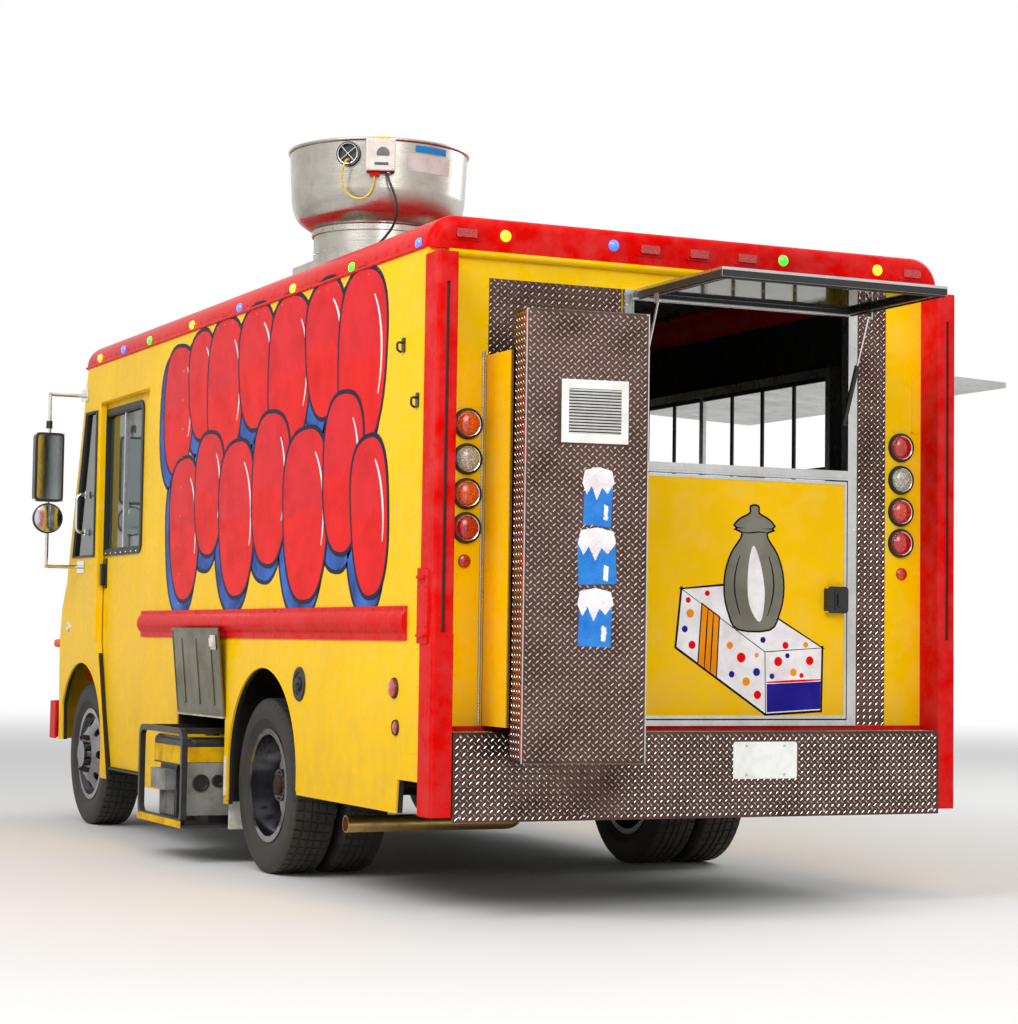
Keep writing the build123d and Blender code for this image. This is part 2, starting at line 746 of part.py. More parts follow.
# Rear corner posts, each with an upright slot
with BuildPart() as rear_posts:
    for sign in (1, -1):
        with BuildSketch(Plane.XY.offset(post_foot_z)):
            with BuildLine():
                FilletPolyline((sign * post_inner_x, rear_wall_y), (sign * post_inner_x, rear_wall_y + post_depth),
                               (sign * post_outer_x, rear_wall_y + post_depth), (sign * post_outer_x, rear_wall_y),
                               radius=12)
                Line((sign * post_outer_x, rear_wall_y), (sign * post_inner_x, rear_wall_y))
            make_face()
        extrude(amount=post_top_z - post_foot_z)
        cut_box(sign * slot_x - slot_w / 2, sign * slot_x + slot_w / 2, rear_wall_y + post_depth - slot_depth,
                rear_wall_y + post_depth + 1, slot_foot_z, post_top_z - 120)
save(rear_posts.part, "rear_posts")

# Rear bumper: a tread-plate channel on two arms
with BuildPart() as rear_bumper:
    box(-bumper_half_width + 4, bumper_half_width - 4, bumper_rear_y - plate_t, bumper_rear_y,
        bumper_foot_z, bumper_top_z)
    box(-bumper_half_width + 4, bumper_half_width - 4, rear_wall_y + 12, bumper_rear_y - plate_t,
        bumper_top_z - plate_t, bumper_top_z)
    cut_box(post_inner_x, bumper_half_width, rear_wall_y, rear_wall_y + post_depth, bumper_foot_z, bumper_top_z)
    cut_box(-post_inner_x, -bumper_half_width, rear_wall_y, rear_wall_y + post_depth, bumper_foot_z, bumper_top_z)
    for sign in (1, -1):
        box(sign * (bumper_arm_x - bumper_arm_w / 2), sign * (bumper_arm_x + bumper_arm_w / 2), rail_rear,
            bumper_rear_y - plate_t, 560, 640)
    with Locations(Location((licence_x, bumper_rear_y - plate_t / 2, licence_z), (90, 0, 0))):
        with GridLocations(licence_hole_x, licence_hole_z, 2, 2):
            Cylinder(licence_hole_r, plate_t, mode=Mode.SUBTRACT)
save(rear_bumper.part, "rear_bumper")

# Tail lamps: height, radius
TAIL_LAMPS = ((1953, 52), (1812, 52), (1673, 52), (1537, 52), (1404, 26))
# Side markers: ahead of the rear wall, height, radius, proud of the side
SIDE_MARKERS = ((268, 894, 42, 20), (244, 736, 32, 12))
ROOF_MARKERS = (body_half_width - 153, 232, 0, -232, 153 - body_half_width)
with BuildPart() as lamps:
    for sign in (1, -1):
        for lamp_z, lamp_r in TAIL_LAMPS:
            with Locations(Location((sign * tail_lamp_x, rear_wall_y + tail_lamp_proud / 2, lamp_z), (90, 0, 0))):
                Cylinder(lamp_r, tail_lamp_proud)
        for ahead, lamp_z, lamp_r, proud in SIDE_MARKERS:
            with Locations(Location((sign * (body_half_width + proud / 2), rear_wall_y - ahead, lamp_z),
                                    (0, 90, 0))):
                Cylinder(lamp_r, proud)
    for marker_x in ROOF_MARKERS:
        box(marker_x - marker_half, marker_x + marker_half, cap_rear_y, cap_rear_y + marker_t,
            marker_foot_z, marker_foot_z + marker_height)
save(lamps.part, "lamps")

# Rub rails along both sides
with BuildPart() as rub_rails:
    for sign in (1, -1):
        box(sign * body_half_width, sign * (body_half_width + rail_proud), rail_front_y, rail_rear_y,
            rail_foot_z, rail_top_z)
    fillet(rub_rails.edges().filter_by(Axis.Y).filter_by(
        lambda edge: abs(edge.center().X) > body_half_width + 5), 20)
save(rub_rails.part, "rub_rails")

# Mirrors on tube arms; heights of the arms
MIRROR_ARMS = (2500, 1490)
mirror_x = body_half_width + mirror_reach
mirror_w, mirror_t, mirror_h = mirror_head
with BuildPart() as mirrors:
    for sign in (1, -1):
        with Locations((sign * mirror_x, mirror_y, mirror_head_foot_z + mirror_h / 2)):
            Box(mirror_w, mirror_t, mirror_h)
        with Locations(Location((sign * mirror_x, mirror_y, mirror_round_z), (90, 0, 0))):
            Cylinder(mirror_round_r, 50)
        with Locations((sign * mirror_x, mirror_y, (MIRROR_ARMS[0] + MIRROR_ARMS[1]) / 2)):
            Cylinder(mirror_tube_r, MIRROR_ARMS[0] - MIRROR_ARMS[1] + 2 * mirror_tube_r)
        for arm_z in MIRROR_ARMS:
            with Locations(Location((sign * (mirror_x - mirror_reach / 2 + 5), mirror_y, arm_z), (0, 90, 0))):
                Cylinder(mirror_tube_r, mirror_reach + 8)
            box(sign * body_half_width, sign * (body_half_width + 8), mirror_y - 28, mirror_y + 122,
                arm_z - 35, arm_z + 35)
save(mirrors.part, "mirrors")

# Cab doors: leaves inside the walls, on their slides
for side, sign in SIDES:
    outer = sign * (floor_inner_x - door_gap)
    with BuildPart() as cab_door:
        with BuildSketch(side_plane(outer)):
            with BuildLine():
                Polyline((door_rear_y + door_lap, 350), (door_foot_front_y - 10, 350),
                         (door_front_y - door_lap, belt_z), (door_front_y - door_lap, door_top_z + door_lap),
                         (door_rear_y + door_lap, door_top_z + door_lap), close=True)
            make_face()
            win_y0, win_y1, win_z0, win_z1 = door_window
            with Locations(((win_y0 + win_y1) / 2, (win_z0 + win_z1) / 2)):
                RectangleRounded(win_y1 - win_y0, win_z1 - win_z0, 40, mode=Mode.SUBTRACT)
        extrude(amount=-sign * door_t)
    save(cab_door.part, f"cab_door_{side}")
    with BuildPart() as door_glass:
        with BuildSketch(side_plane(sign * (floor_inner_x - door_gap - door_t / 2))):
            with Locations(((win_y0 + win_y1) / 2, (win_z0 + win_z1) / 2)):
                RectangleRounded(win_y1 - win_y0 - 2 * seat_gap, win_z1 - win_z0 - 2 * seat_gap, 40 - seat_gap)
        extrude(amount=-sign * glass_t)
    save(door_glass.part, f"door_glass_{side}")

# Door frame: jambs, head, transom and sill round the rear door and its window
frame_in_x0 = frame_x0 + frame_bar
frame_in_x1 = frame_x1 - frame_bar
frame_y0 = rear_wall_y - wall_t
frame_y1 = rear_wall_y + frame_proud
leaf_x0 = frame_in_x0 + leaf_gap
leaf_x1 = frame_in_x1 - leaf_gap
leaf_z0 = floor_top + sill_h + leaf_gap
leaf_z1 = transom_z - leaf_gap
leaf_axis_x = leaf_x1 + pin_r + seat_gap
with BuildPart() as door_frame:
    box(frame_x0, frame_x1, frame_y0, frame_y1, floor_top, frame_top_z)
    cut_box(frame_in_x0, frame_in_x1, frame_y0, frame_y1, floor_top + sill_h, transom_z)
    cut_box(frame_in_x0, frame_in_x1, frame_y0, frame_y1, transom_z + transom_h, frame_top_z - frame_bar + 9)
    with Locations(Location((frame_mid_x, hatch_axis_y, hatch_axis_z), (0, 90, 0))):
        Cylinder(pin_r, frame_in_x1 - frame_in_x0)
    box(frame_in_x0, frame_in_x1, frame_y1 - 1, hatch_axis_y, hatch_axis_z - 3, hatch_axis_z + 3)
    with Locations((leaf_axis_x, frame_y1, (leaf_z0 + leaf_z1) / 2)):
        Cylinder(pin_r, leaf_z1 - leaf_z0)
save(door_frame.part, "door_frame")

# Rear door: the lower leaf with its latch housing
with BuildPart() as rear_door:
    box(leaf_x0, leaf_x1, frame_y1 - leaf_t, frame_y1, leaf_z0, leaf_z1)
    box(leaf_x0 + 10, leaf_x0 + latch_w, frame_y1, frame_y1 + latch_t, latch_foot_z, latch_foot_z + latch_h)
save(rear_door.part, "rear_door")

# Rear window hatch, open just above level
hatch_x0 = frame_in_x0 - 8
hatch_x1 = frame_in_x1 - 4
hatch_y0 = hatch_axis_y + pin_r + seat_gap
hatch_y1 = hatch_y0 + hatch_length
strut_x = (frame_in_x0 + 17, frame_in_x1 - 17)
tab_reach = strut_eye_half + seat_gap + tab_t
with BuildPart() as rear_hatch:
    box(hatch_x0, hatch_x1, hatch_y0, hatch_y1, hatch_axis_z, hatch_axis_z + hatch_t)
    cut_box(hatch_x0 + hatch_bar, hatch_x1 - hatch_bar, hatch_y0 + hatch_bar, hatch_y1 - hatch_bar,
            hatch_axis_z, hatch_axis_z + hatch_t)
    tab_y = hatch_axis_y + hatch_strut_arm
    box(strut_x[0] - tab_reach, strut_x[0] - tab_reach + tab_t, tab_y - 15, tab_y + 15,
        hatch_axis_z - tab_drop, hatch_axis_z + 1)
    box(strut_x[1] + tab_reach, strut_x[1] + tab_reach - tab_t, tab_y - 15, tab_y + 15,
        hatch_axis_z - tab_drop, hatch_axis_z + 1)
save(rear_hatch.part, "rear_hatch")

with BuildPart() as hatch_glass:
    box(hatch_x0 + hatch_bar, hatch_x1 - hatch_bar, hatch_y0 + hatch_bar, hatch_y1 - hatch_bar,
        hatch_axis_z + 16, hatch_axis_z + 16 + glass_t)
save(hatch_glass.part, "hatch_glass")


def strut_pair(name, feet, heads, across, seats, tube_length, rod_length):
    """Write the tubes and rods of a pair of struts; seats says how far each foot eye reaches across."""
    with BuildPart() as tubes:
        for foot, head, seat in zip(feet, heads, seats):
            way = (head - foot).normalized()
            with BuildSketch(Plane(origin=foot, z_dir=way)):
                Circle(strut_tube_r)
                Circle(strut_rod_r + seat_gap, mode=Mode.SUBTRACT)
            extrude(amount=tube_length)
            with BuildSketch(Plane(origin=foot, z_dir=across * seat)):
                Circle(strut_eye_r)
            extrude(amount=abs(seat))
        for foot, head in zip(feet, heads):
            way = (head - foot).normalized()
            with BuildSketch(Plane(origin=foot + way * (strut_eye_r + 2), z_dir=way)):
                Circle(strut_rod_r + seat_gap)
            extrude(amount=tube_length, mode=Mode.SUBTRACT)
    save(tubes.part, f"{name}_tubes")
    with BuildPart() as rods:
        for foot, head in zip(feet, heads):
            way = (head - foot).normalized()
            with BuildSketch(Plane(origin=head - way * rod_length, z_dir=way)):
                Circle(strut_rod_r)
            extrude(amount=rod_length)
            with BuildSketch(Plane(origin=head - across * strut_eye_half, z_dir=across)):
                Circle(strut_eye_r)
            extrude(amount=2 * strut_eye_half)
    save(rods.part, f"{name}_rods")


strut_foot_y = rear_wall_y + 14
strut_feet = [Vector(x, strut_foot_y, hatch_axis_z - hatch_strut_drop) for x in strut_x]
strut_heads = [Vector(x, hatch_axis_y + hatch_strut_arm, hatch_axis_z - hatch_eye_drop) for x in strut_x]
foot_seat = strut_x[0] - frame_in_x0 - seat_gap
strut_pair("hatch_strut", strut_feet, strut_heads, Vector(1, 0, 0), (-foot_seat, foot_seat), 265, 280)

# Serving hatch on the curb side, open and just below level
serve_strut_y = (serve_front_y + 17, serve_rear_y - 17)
with BuildPart() as serving_hatch:
    droop = radians(serve_droop)
    hatch_plane = Plane(origin=(serve_axis_x, 0, serve_axis_z), x_dir=(-cos(droop), 0, -sin(droop)),
                        z_dir=(0, 1, 0))
    with BuildSketch(hatch_plane.offset(serve_front_y - 20)):
        with Locations((pin_r + seat_gap + serve_length / 2, serve_t / 2)):
            Rectangle(serve_length, serve_t)
    extrude(amount=serve_rear_y - serve_front_y + 40)
    for tab_y in (serve_strut_y[0] - tab_reach, serve_strut_y[1] + tab_reach - tab_t):
        with BuildSketch(hatch_plane.offset(tab_y)):
            with Locations((serve_strut_arm, (1 - tab_drop) / 2)):
                Rectangle(30, tab_drop + 1)
        extrude(amount=tab_t)
save(serving_hatch.part, "serving_hatch")

serve_head = hatch_plane.from_local_coords((serve_strut_arm, -serve_eye_drop, 0))
serve_foot_x = serve_axis_x + serve_eye_drop
serve_feet = [Vector(serve_foot_x, y, serve_axis_z - serve_strut_drop) for y in serve_strut_y]
serve_heads = [Vector(serve_head.X, y, serve_head.Z) for y in serve_strut_y]
strut_pair("serving_strut", serve_feet, serve_heads, Vector(0, 1, 0), (-foot_seat, foot_seat), 320, 335)

# Serving window: a frame with a mullion, set inside the wall
with BuildPart() as serving_window:
    box(-floor_inner_x, -floor_inner_x + 30, serve_front_y - 30, serve_rear_y + 30,
        serve_foot_z - 30, serve_top_z + 30)
    cut_box(-floor_inner_x, -floor_inner_x + 30, serve_front_y + 10, serve_rear_y - 10,
            serve_foot_z + 10, serve_top_z - 10)
    serve_mid_y = (serve_front_y + serve_rear_y) / 2
    box(-floor_inner_x + 6, -floor_inner_x + 24, serve_mid_y - serve_mullion / 2,
        serve_mid_y + serve_mullion / 2, serve_foot_z + 10, serve_top_z - 10)
save(serving_window.part, "serving_window")

# Locker: an open carcass, a hinged side panel and a deep door standing ajar
locker_right_x = locker_left_x - locker_width
locker_front_y = rear_wall_y + locker_depth
locker_axis = (locker_left_x + 4, locker_front_y + 8)
side_axis = (locker_left_x + 4, rear_wall_y + 4)
with BuildPart() as locker:
    box(locker_right_x, locker_left_x, rear_wall_y, locker_front_y, locker_foot_z, locker_top_z)
    cut_box(locker_right_x + sheet_t, locker_left_x - sheet_t, rear_wall_y + sheet_t, locker_front_y,
            locker_foot_z + sheet_t, locker_top_z - sheet_t)
    cut_box(locker_left_x - sheet_t, locker_left_x, rear_wall_y + 20, locker_front_y - 20,
            locker_foot_z + sheet_t, locker_top_z - sheet_t)
    locker_mid_z = (locker_foot_z + locker_top_z) / 2
    box(side_axis[0] - 9, side_axis[0], rear_wall_y, side_axis[1], locker_foot_z, locker_top_z)
    with Locations((*side_axis, locker_mid_z)):
        Cylinder(thin_pin_r, locker_top_z - locker_foot_z)
    box(locker_axis[0] - 19, locker_axis[0], locker_front_y - 5, locker_front_y + 5, locker_foot_z, locker_top_z)
    with Locations((*locker_axis, locker_mid_z)):
        Cylinder(pin_r, locker_top_z - locker_foot_z)
save(locker.part, "locker")

with BuildPart() as locker_side:
    box(side_axis[0] - 3, side_axis[0] + 3, side_axis[1] + thin_pin_r + seat_gap, locker_front_y - 12,
        locker_foot_z, locker_top_z)
save(locker_side.part, "locker_side")

ajar = radians(locker_door_ajar)
locker_door_plane = Plane(origin=(locker_axis[0], locker_axis[1], locker_door_foot_z),
                          x_dir=(-cos(ajar), sin(ajar), 0), z_dir=(0, 0, 1))
with BuildPart() as locker_door:
    with BuildSketch(locker_door_plane):
        with Locations((locker_width / 2 + pin_r + seat_gap, -locker_door_depth / 2)):
            Rectangle(locker_width, locker_door_depth)
    extrude(amount=locker_door_top_z - locker_door_foot_z)
    with BuildSketch(locker_door_plane.offset(sheet_t)):
        with Locations((locker_width / 2 + pin_r + seat_gap, -locker_door_depth / 2 + sheet_t)):
            Rectangle(locker_width - 2 * sheet_t, locker_door_depth)
    extrude(amount=locker_door_top_z - locker_door_foot_z - 2 * sheet_t, mode=Mode.SUBTRACT)
save(locker_door.part, "locker_door")

# Generator flap, folded up against the rub rail
lean = radians(flap_lean)
flap_plane = Plane(origin=(flap_axis_x, 0, bay_top_z), x_dir=(sin(lean), 0, cos(lean)), z_dir=(0, -1, 0))
with BuildPart() as generator_flap:
    with BuildSketch(flap_plane.offset(-bay_rear_y - 20)):
        with Locations((flap_pin_r + seat_gap + flap_length / 2, 0)):
            Rectangle(flap_length, flap_t)
    extrude(amount=bay_rear_y - bay_front_y - 30)
save(generator_flap.part, "generator_flap")

# Generator: a tube frame on its drawer tray, round the tank, the engine, the alternator and the panel
gen_mid_y = (gen_y0 + gen_y1) / 2
gen_mid_x = (generator_inner_x + generator_outer_x) / 2
tank_foot = generator_top_z - 185
shaft_z = generator_foot_z + 150
with BuildPart() as generator:
    with BuildSketch(Plane.XY.offset(tank_foot)):
        with Locations((gen_mid_x, gen_mid_y)):
            RectangleRounded(generator_outer_x - generator_inner_x - 100, gen_y1 - gen_y0 - 150, 45)
    extrude(amount=140)
    fillet(generator.faces().sort_by(Axis.Z)[-1].edges(), 30)
    box(generator_inner_x, generator_outer_x, gen_y0, gen_y1, generator_foot_z - 12, generator_foot_z)
    for frame_x in (generator_inner_x + tube_r, generator_outer_x - tube_r):
        with BuildSketch(side_plane(frame_x - tube_r)):
            with Locations(((gen_y0 + gen_y1) / 2, (generator_foot_z + generator_top_z) / 2)):
                RectangleRounded(gen_y1 - gen_y0, generator_top_z - generator_foot_z, 60)
                RectangleRounded(gen_y1 - gen_y0 - 4 * tube_r, generator_top_z - generator_foot_z - 4 * tube_r, 40,
                                 mode=Mode.SUBTRACT)
        extrude(amount=2 * tube_r)
    box(gen_mid_x - 135, gen_mid_x + 145, gen_y0 + 110, gen_mid_y + 20, generator_foot_z, tank_foot)
    with Locations(Location((gen_mid_x, gen_y0 + 90, shaft_z), (90, 0, 0))):
        Cylinder(115, 60)
    with Locations(Location((gen_mid_x, gen_mid_y + 90, shaft_z), (90, 0, 0))):
        Cylinder(125, 160)
    box(gen_mid_x - 60, gen_mid_x + 60, gen_mid_y + 40, gen_y1 - 100, generator_foot_z, shaft_z)
    box(generator_inner_x + 45, generator_outer_x - 45, gen_y1 - 100, gen_y1 - 60,
        generator_foot_z + 40, tank_foot + 20)
    box(generator_inner_x + 60, generator_inner_x + 120, gen_y1 - 90, gen_y1 - 70, generator_foot_z,
        generator_foot_z + 60)
    box(gen_mid_x + 125, generator_outer_x - 30, gen_y0 + 130, gen_mid_y, generator_foot_z + 150, tank_foot - 30)
    for bar_y in (gen_y0 + 90, gen_y1 - 90):
        box(generator_inner_x + tube_r, generator_outer_x - tube_r, bar_y - tube_r, bar_y + tube_r,
            generator_top_z - 2 * tube_r, generator_top_z)
save(generator.part, "generator")

# Roof fan: square curb, round neck and spun upblast bowl over a motor dome
neck_foot_z = roof_top_z + fan_curb_height
# Bowl underside: out from the neck, up from the waist
BOWL_TURN = ((4, 8), (40, 24), (75, 52), (96, 90), (108, 140))
bowl_outside = [(fan_neck_r + out, fan_waist_z + up) for out, up in BOWL_TURN]
bowl_inside = [(r - fan_wall, z) for r, z in bowl_outside[2:]]
lip_z = fan_rim_z - fan_roll - 4
FAN_SECTION = (
    (0, neck_foot_z),
    (fan_neck_r, neck_foot_z),
    (fan_neck_r, fan_waist_z - 28),
    (fan_neck_r + 9, fan_waist_z - 26),
    (fan_neck_r + 9, fan_waist_z),
    *bowl_outside,
    (fan_rim_r - 2, lip_z),
    (fan_rim_r + fan_roll - 3, lip_z + 2),
    (fan_rim_r + fan_roll, fan_rim_z - fan_roll / 2),
    (fan_rim_r + fan_roll - 4, fan_rim_z),
    (fan_rim_r - fan_wall + 3, fan_rim_z),
    (fan_rim_r - fan_wall, fan_rim_z - 5),
    *reversed(bowl_inside),
    (fan_motor_r, fan_waist_z + 52),
    (fan_motor_r, fan_waist_z + fan_motor_height),
    (fan_motor_r - 45, fan_waist_z + fan_motor_height + 28),
    (0, fan_waist_z + fan_motor_height + 28),
)
bowl_top_r = fan_rim_r - 4


def fan_plane(angle, out, z):
    """Plane facing out of the bowl at an angle from +X; sketch x runs round it and sketch y runs up."""
    away = Vector(cos(radians(angle)), sin(radians(angle)), 0)
    return Plane(origin=Vector(fan_x, fan_y, z) + away * out, x_dir=Vector(-away.Y, away.X, 0), z_dir=away)


box_mid_z = fan_box_foot_z + fan_box_height / 2
# Cable bushings: along the bottom of the switch box, out from the bowl's axis
BUSHINGS = ((36, 458), (-28, 452))
bushing_drop = 10
bushing_foot_z = fan_box_foot_z - bushing_drop
roof_gland = (795, fan_y + fan_curb / 2 + 12)
gland_top_z = roof_top_z + 14
with BuildPart() as roof_fan:
    with BuildSketch(Plane.XY.offset(roof_top_z)):
        with Locations((fan_x, fan_y)):
            Rectangle(fan_curb, fan_curb)
    extrude(amount=fan_curb_height)
    with BuildSketch(Plane.XZ.offset(-fan_y)):
        with BuildLine():
            Polyline(*[(fan_x + r, z) for r, z in FAN_SECTION], close=True)
        make_face()
    revolve(axis=Axis((fan_x, fan_y, 0), (0, 0, 1)))
    with BuildSketch(fan_plane(fan_vent_angle, bowl_top_r - 20, fan_vent_z)):
        Circle(fan_vent_r)
    extrude(amount=38)
    with BuildSketch(fan_plane(fan_vent_angle, bowl_top_r + 4, fan_vent_z)):
        Circle(fan_vent_r - 10)
    extrude(amount=20, mode=Mode.SUBTRACT)
    with BuildSketch(fan_plane(fan_box_angle, bowl_top_r - 25, box_mid_z)):
        Rectangle(fan_box_w, fan_box_height)
    extrude(amount=fan_box_depth + 15)
    for along, out in BUSHINGS:
        with Locations(fan_plane(fan_box_angle, out, bushing_foot_z + bushing_drop / 2).from_local_coords((along, 0, 0))):
            Cylinder(cable_r + 5, bushing_drop)
    with Locations((*roof_gland, (roof_top_z + gland_top_z) / 2)):
        Cylinder(cable_r + 8, gland_top_z - roof_top_z)
save(roof_fan.part, "roof_fan")


def lead(points, radius, name):
    """Write a cable of straight runs and tangent arcs, each arc as large as its runs allow."""
    radii = []
    for before, corner, after in zip(points, points[1:], points[2:]):
        way_in = Vector(*corner) - Vector(*before)
        way_out = Vector(*after) - Vector(*corner)
        turn = radians(way_in.get_angle(way_out))
        radii.append(0.45 * min(way_in.length, way_out.length) / tan(turn / 2))
    with BuildPart() as cable:
        with BuildLine() as route:
            FilletPolyline(*points, radius=radii)
        with BuildSketch(Plane(origin=route.line @ 0, z_dir=route.line % 0)):
            Circle(radius)
        sweep()
    print(name, "length %.0f" % route.wire().length, "volume / section %.0f" % (
        cable.part.volume / (pi * radius ** 2)), "radii", [round(r) for r in radii])
    save(cable.part, name)


# Cables of the fan: from the switch box down to the roof, and from the vent round to the switch box
box_ports = [fan_plane(fan_box_angle, out, bushing_foot_z).from_local_coords((along, 0, 0)) for along, out in BUSHINGS]
bushing_run = 16
lead((
    tuple(box_ports[0]),
    tuple(box_ports[0] - Vector(0, 0, bushing_run)),
    (721, 288, 3230),
    (705, 297, 3188),
    (688, 301, 3138),
    (682, 290, 3083),
    (689, 262, 3030),
    (710, 227, 2986),
    (740, 198, 2949),
    (768, 182, 2910),
    (785, 175, 2872),
    (793.5, 172.8, 2840),
    (*roof_gland, gland_top_z + bushing_run),
    (*roof_gland, gland_top_z),
), cable_r, "fan_cable")
vent_port = fan_plane(fan_vent_angle, bowl_top_r + 4, fan_vent_z - 30).from_local_coords((4, 0, 0))
vent_away = fan_plane(fan_vent_angle, 0, 0).z_dir
lead((
    tuple(vent_port),
    tuple(vent_port + vent_away * 24),
    (911.4, 198.8, 3328),
    (921.4, 200.4, 3304),
    (927, 190, 3268),
    (920, 178, 3226),
    (902, 180, 3188),
    (872, 198, 3160),
    (836, 223, 3152),
    (806, 241, 3172),
    (791, 250, 3208),
    (786, 252.5, 3238),
    tuple(box_ports[1] - Vector(0, 0, bushing_run)),
    tuple(box_ports[1]),
), loop_cable_r, "fan_loop_cable")

# Cab fittings: the driver's seat, and the dash with its steering wheel
with BuildPart() as cab_fittings:
    seat_y0 = door_rear_y - 660
    seat_y1 = seat_y0 + 480
    dash_y0 = nose_face_y + nose_depth + 120
    dash_y1 = dash_y0 + 120
    wheel_y = dash_y1 + 355
    box(330, 680, seat_y0, seat_y1, floor_top, floor_top + 420)
    box(330, 680, seat_y1 - 50, seat_y1, floor_top + 420, floor_top + 1020)
    box(-floor_inner_x, floor_inner_x, dash_y0, dash_y1, 1160, 1330)
    box(480, 540, dash_y1, wheel_y - 5, 1150, 1200)
    with Locations(Location((510, wheel_y, 1190), (70, 0, 0))):
        Torus(200, 15)
        Box(400, 24, 12)
        Cylinder(30, 60)
save(cab_fittings.part, "cab_fittings")

# Kitchen: the cook line on the driver's side, the counter under the serving window and the hood
with BuildPart() as kitchen:
    cook_back_x = floor_inner_x - kitchen_gap
    kitchen_y0 = serve_front_y + 114
    kitchen_y1 = serve_rear_y + 364
    box(cook_back_x - cook_depth, cook_back_x, kitchen_y0, kitchen_y1, floor_top, floor_top + cook_height)
    box(-cook_back_x, counter_depth - cook_back_x, kitchen_y0, kitchen_y1, floor_top, floor_top + counter_height)
    for sign in (1, -1):
        cut_box(sign * (wheelhouse_inner_x - 35), sign * (cook_back_x + 10), -500, 580, floor_top,
                wheelhouse_top_z + 15)
    hood_x = cook_back_x - cook_depth
    box(hood_x, hood_x + hood_depth, kitchen_y0 + 250, kitchen_y1 - 300, hood_foot_z, roof_top_z - wall_t)
save(kitchen.part, "kitchen")
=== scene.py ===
from math import copysign, cos, pi, radians, sin

import bmesh
import bpy
from mathutils import Matrix, Vector


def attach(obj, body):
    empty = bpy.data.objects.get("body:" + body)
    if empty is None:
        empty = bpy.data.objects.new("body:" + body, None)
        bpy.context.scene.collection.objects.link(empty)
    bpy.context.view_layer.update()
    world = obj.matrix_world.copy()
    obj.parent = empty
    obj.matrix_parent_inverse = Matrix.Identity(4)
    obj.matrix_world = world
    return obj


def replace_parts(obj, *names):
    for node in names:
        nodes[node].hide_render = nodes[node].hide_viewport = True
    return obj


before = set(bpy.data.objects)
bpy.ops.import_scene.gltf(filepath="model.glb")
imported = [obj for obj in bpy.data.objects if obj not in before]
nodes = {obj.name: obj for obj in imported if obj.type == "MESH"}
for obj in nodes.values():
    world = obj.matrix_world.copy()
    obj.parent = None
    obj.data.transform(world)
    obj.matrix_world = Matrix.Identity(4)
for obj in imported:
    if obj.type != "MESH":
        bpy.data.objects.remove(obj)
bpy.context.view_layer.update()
scene = bpy.context.scene
scene.view_settings.view_transform = "Standard"

# Camera: in the street behind the driver's side, at chest height, on a long lens.
# The frame is 1018 x 1024 and the lens axis meets it a little above and right of its middle.
PHOTO_WIDTH, PHOTO_HEIGHT = 1018, 1024
axis_px = (519.5, 484.8)
focal_px = 2430.6
camera_place = Vector((4.935, 10.785, 1.085))
camera_yaw = radians(25.061)
camera_pitch = radians(3.709)
camera_roll = radians(0.818)

look = Vector((-sin(camera_yaw) * cos(camera_pitch), -cos(camera_yaw) * cos(camera_pitch), sin(camera_pitch)))
level_right = look.cross(Vector((0, 0, 1))).normalized()
level_up = level_right.cross(look)
right = level_right * cos(camera_roll) + level_up * sin(camera_roll)
up = level_up * cos(camera_roll) - level_right * sin(camera_roll)
camera = bpy.data.objects.new("camera", bpy.data.cameras.new("camera"))
scene.collection.objects.link(camera)
camera.matrix_world = Matrix.Translation(camera_place) @ Matrix((right, up, -look)).transposed().to_4x4()
camera.data.sensor_fit = "VERTICAL"
camera.data.sensor_height = 36
camera.data.lens = focal_px / PHOTO_HEIGHT * 36
camera.data.shift_x = -(axis_px[0] - PHOTO_WIDTH / 2) / PHOTO_HEIGHT
camera.data.shift_y = -(PHOTO_HEIGHT / 2 - axis_px[1]) / PHOTO_HEIGHT
camera.data.clip_end = 200
scene.camera = camera


# Floor and light: a pale floor that runs out to a white background, a large key lamp over the
# street side and a weaker one over the curb side.
def new_material(name):
    """A material with no nodes at all yet."""
    material = bpy.data.materials.new(name)
    material.use_nodes = True
    material.node_tree.nodes.clear()
    return material


def node(tree, kind, sockets=None, **settings):
    """Add a shader node; sockets maps input names to a value or to the output that feeds them."""
    made = tree.nodes.new("ShaderNode" + kind)
    for key, value in settings.items():
        setattr(made, key, value)
    for key, value in (sockets or {}).items():
        if isinstance(value, bpy.types.NodeSocket):
            tree.links.new(value, made.inputs[key])
        else:
            made.inputs[key].default_value = value
    return made


def rgb(red, green, blue):
    """A colour written as it looks on a screen, 0 to 255, as the linear colour that shaders take."""
    parts = [channel / 255 for channel in (red, green, blue)]
    return tuple(part / 12.92 if part <= 0.04045 else ((part + 0.055) / 1.055) ** 2.4 for part in parts) + (1.0,)


def only_seen(tree):
    """1 for the camera, mirror images and views through glass, and 0 for the light that reaches the truck."""
    path = node(tree, "LightPath").outputs
    seen = node(tree, "Math", {0: path["Is Camera Ray"], 1: path["Is Glossy Ray"]}, operation="MAXIMUM").outputs[0]
    return node(tree, "Math", {0: seen, 1: path["Is Transmission Ray"]}, operation="MAXIMUM").outputs[0]


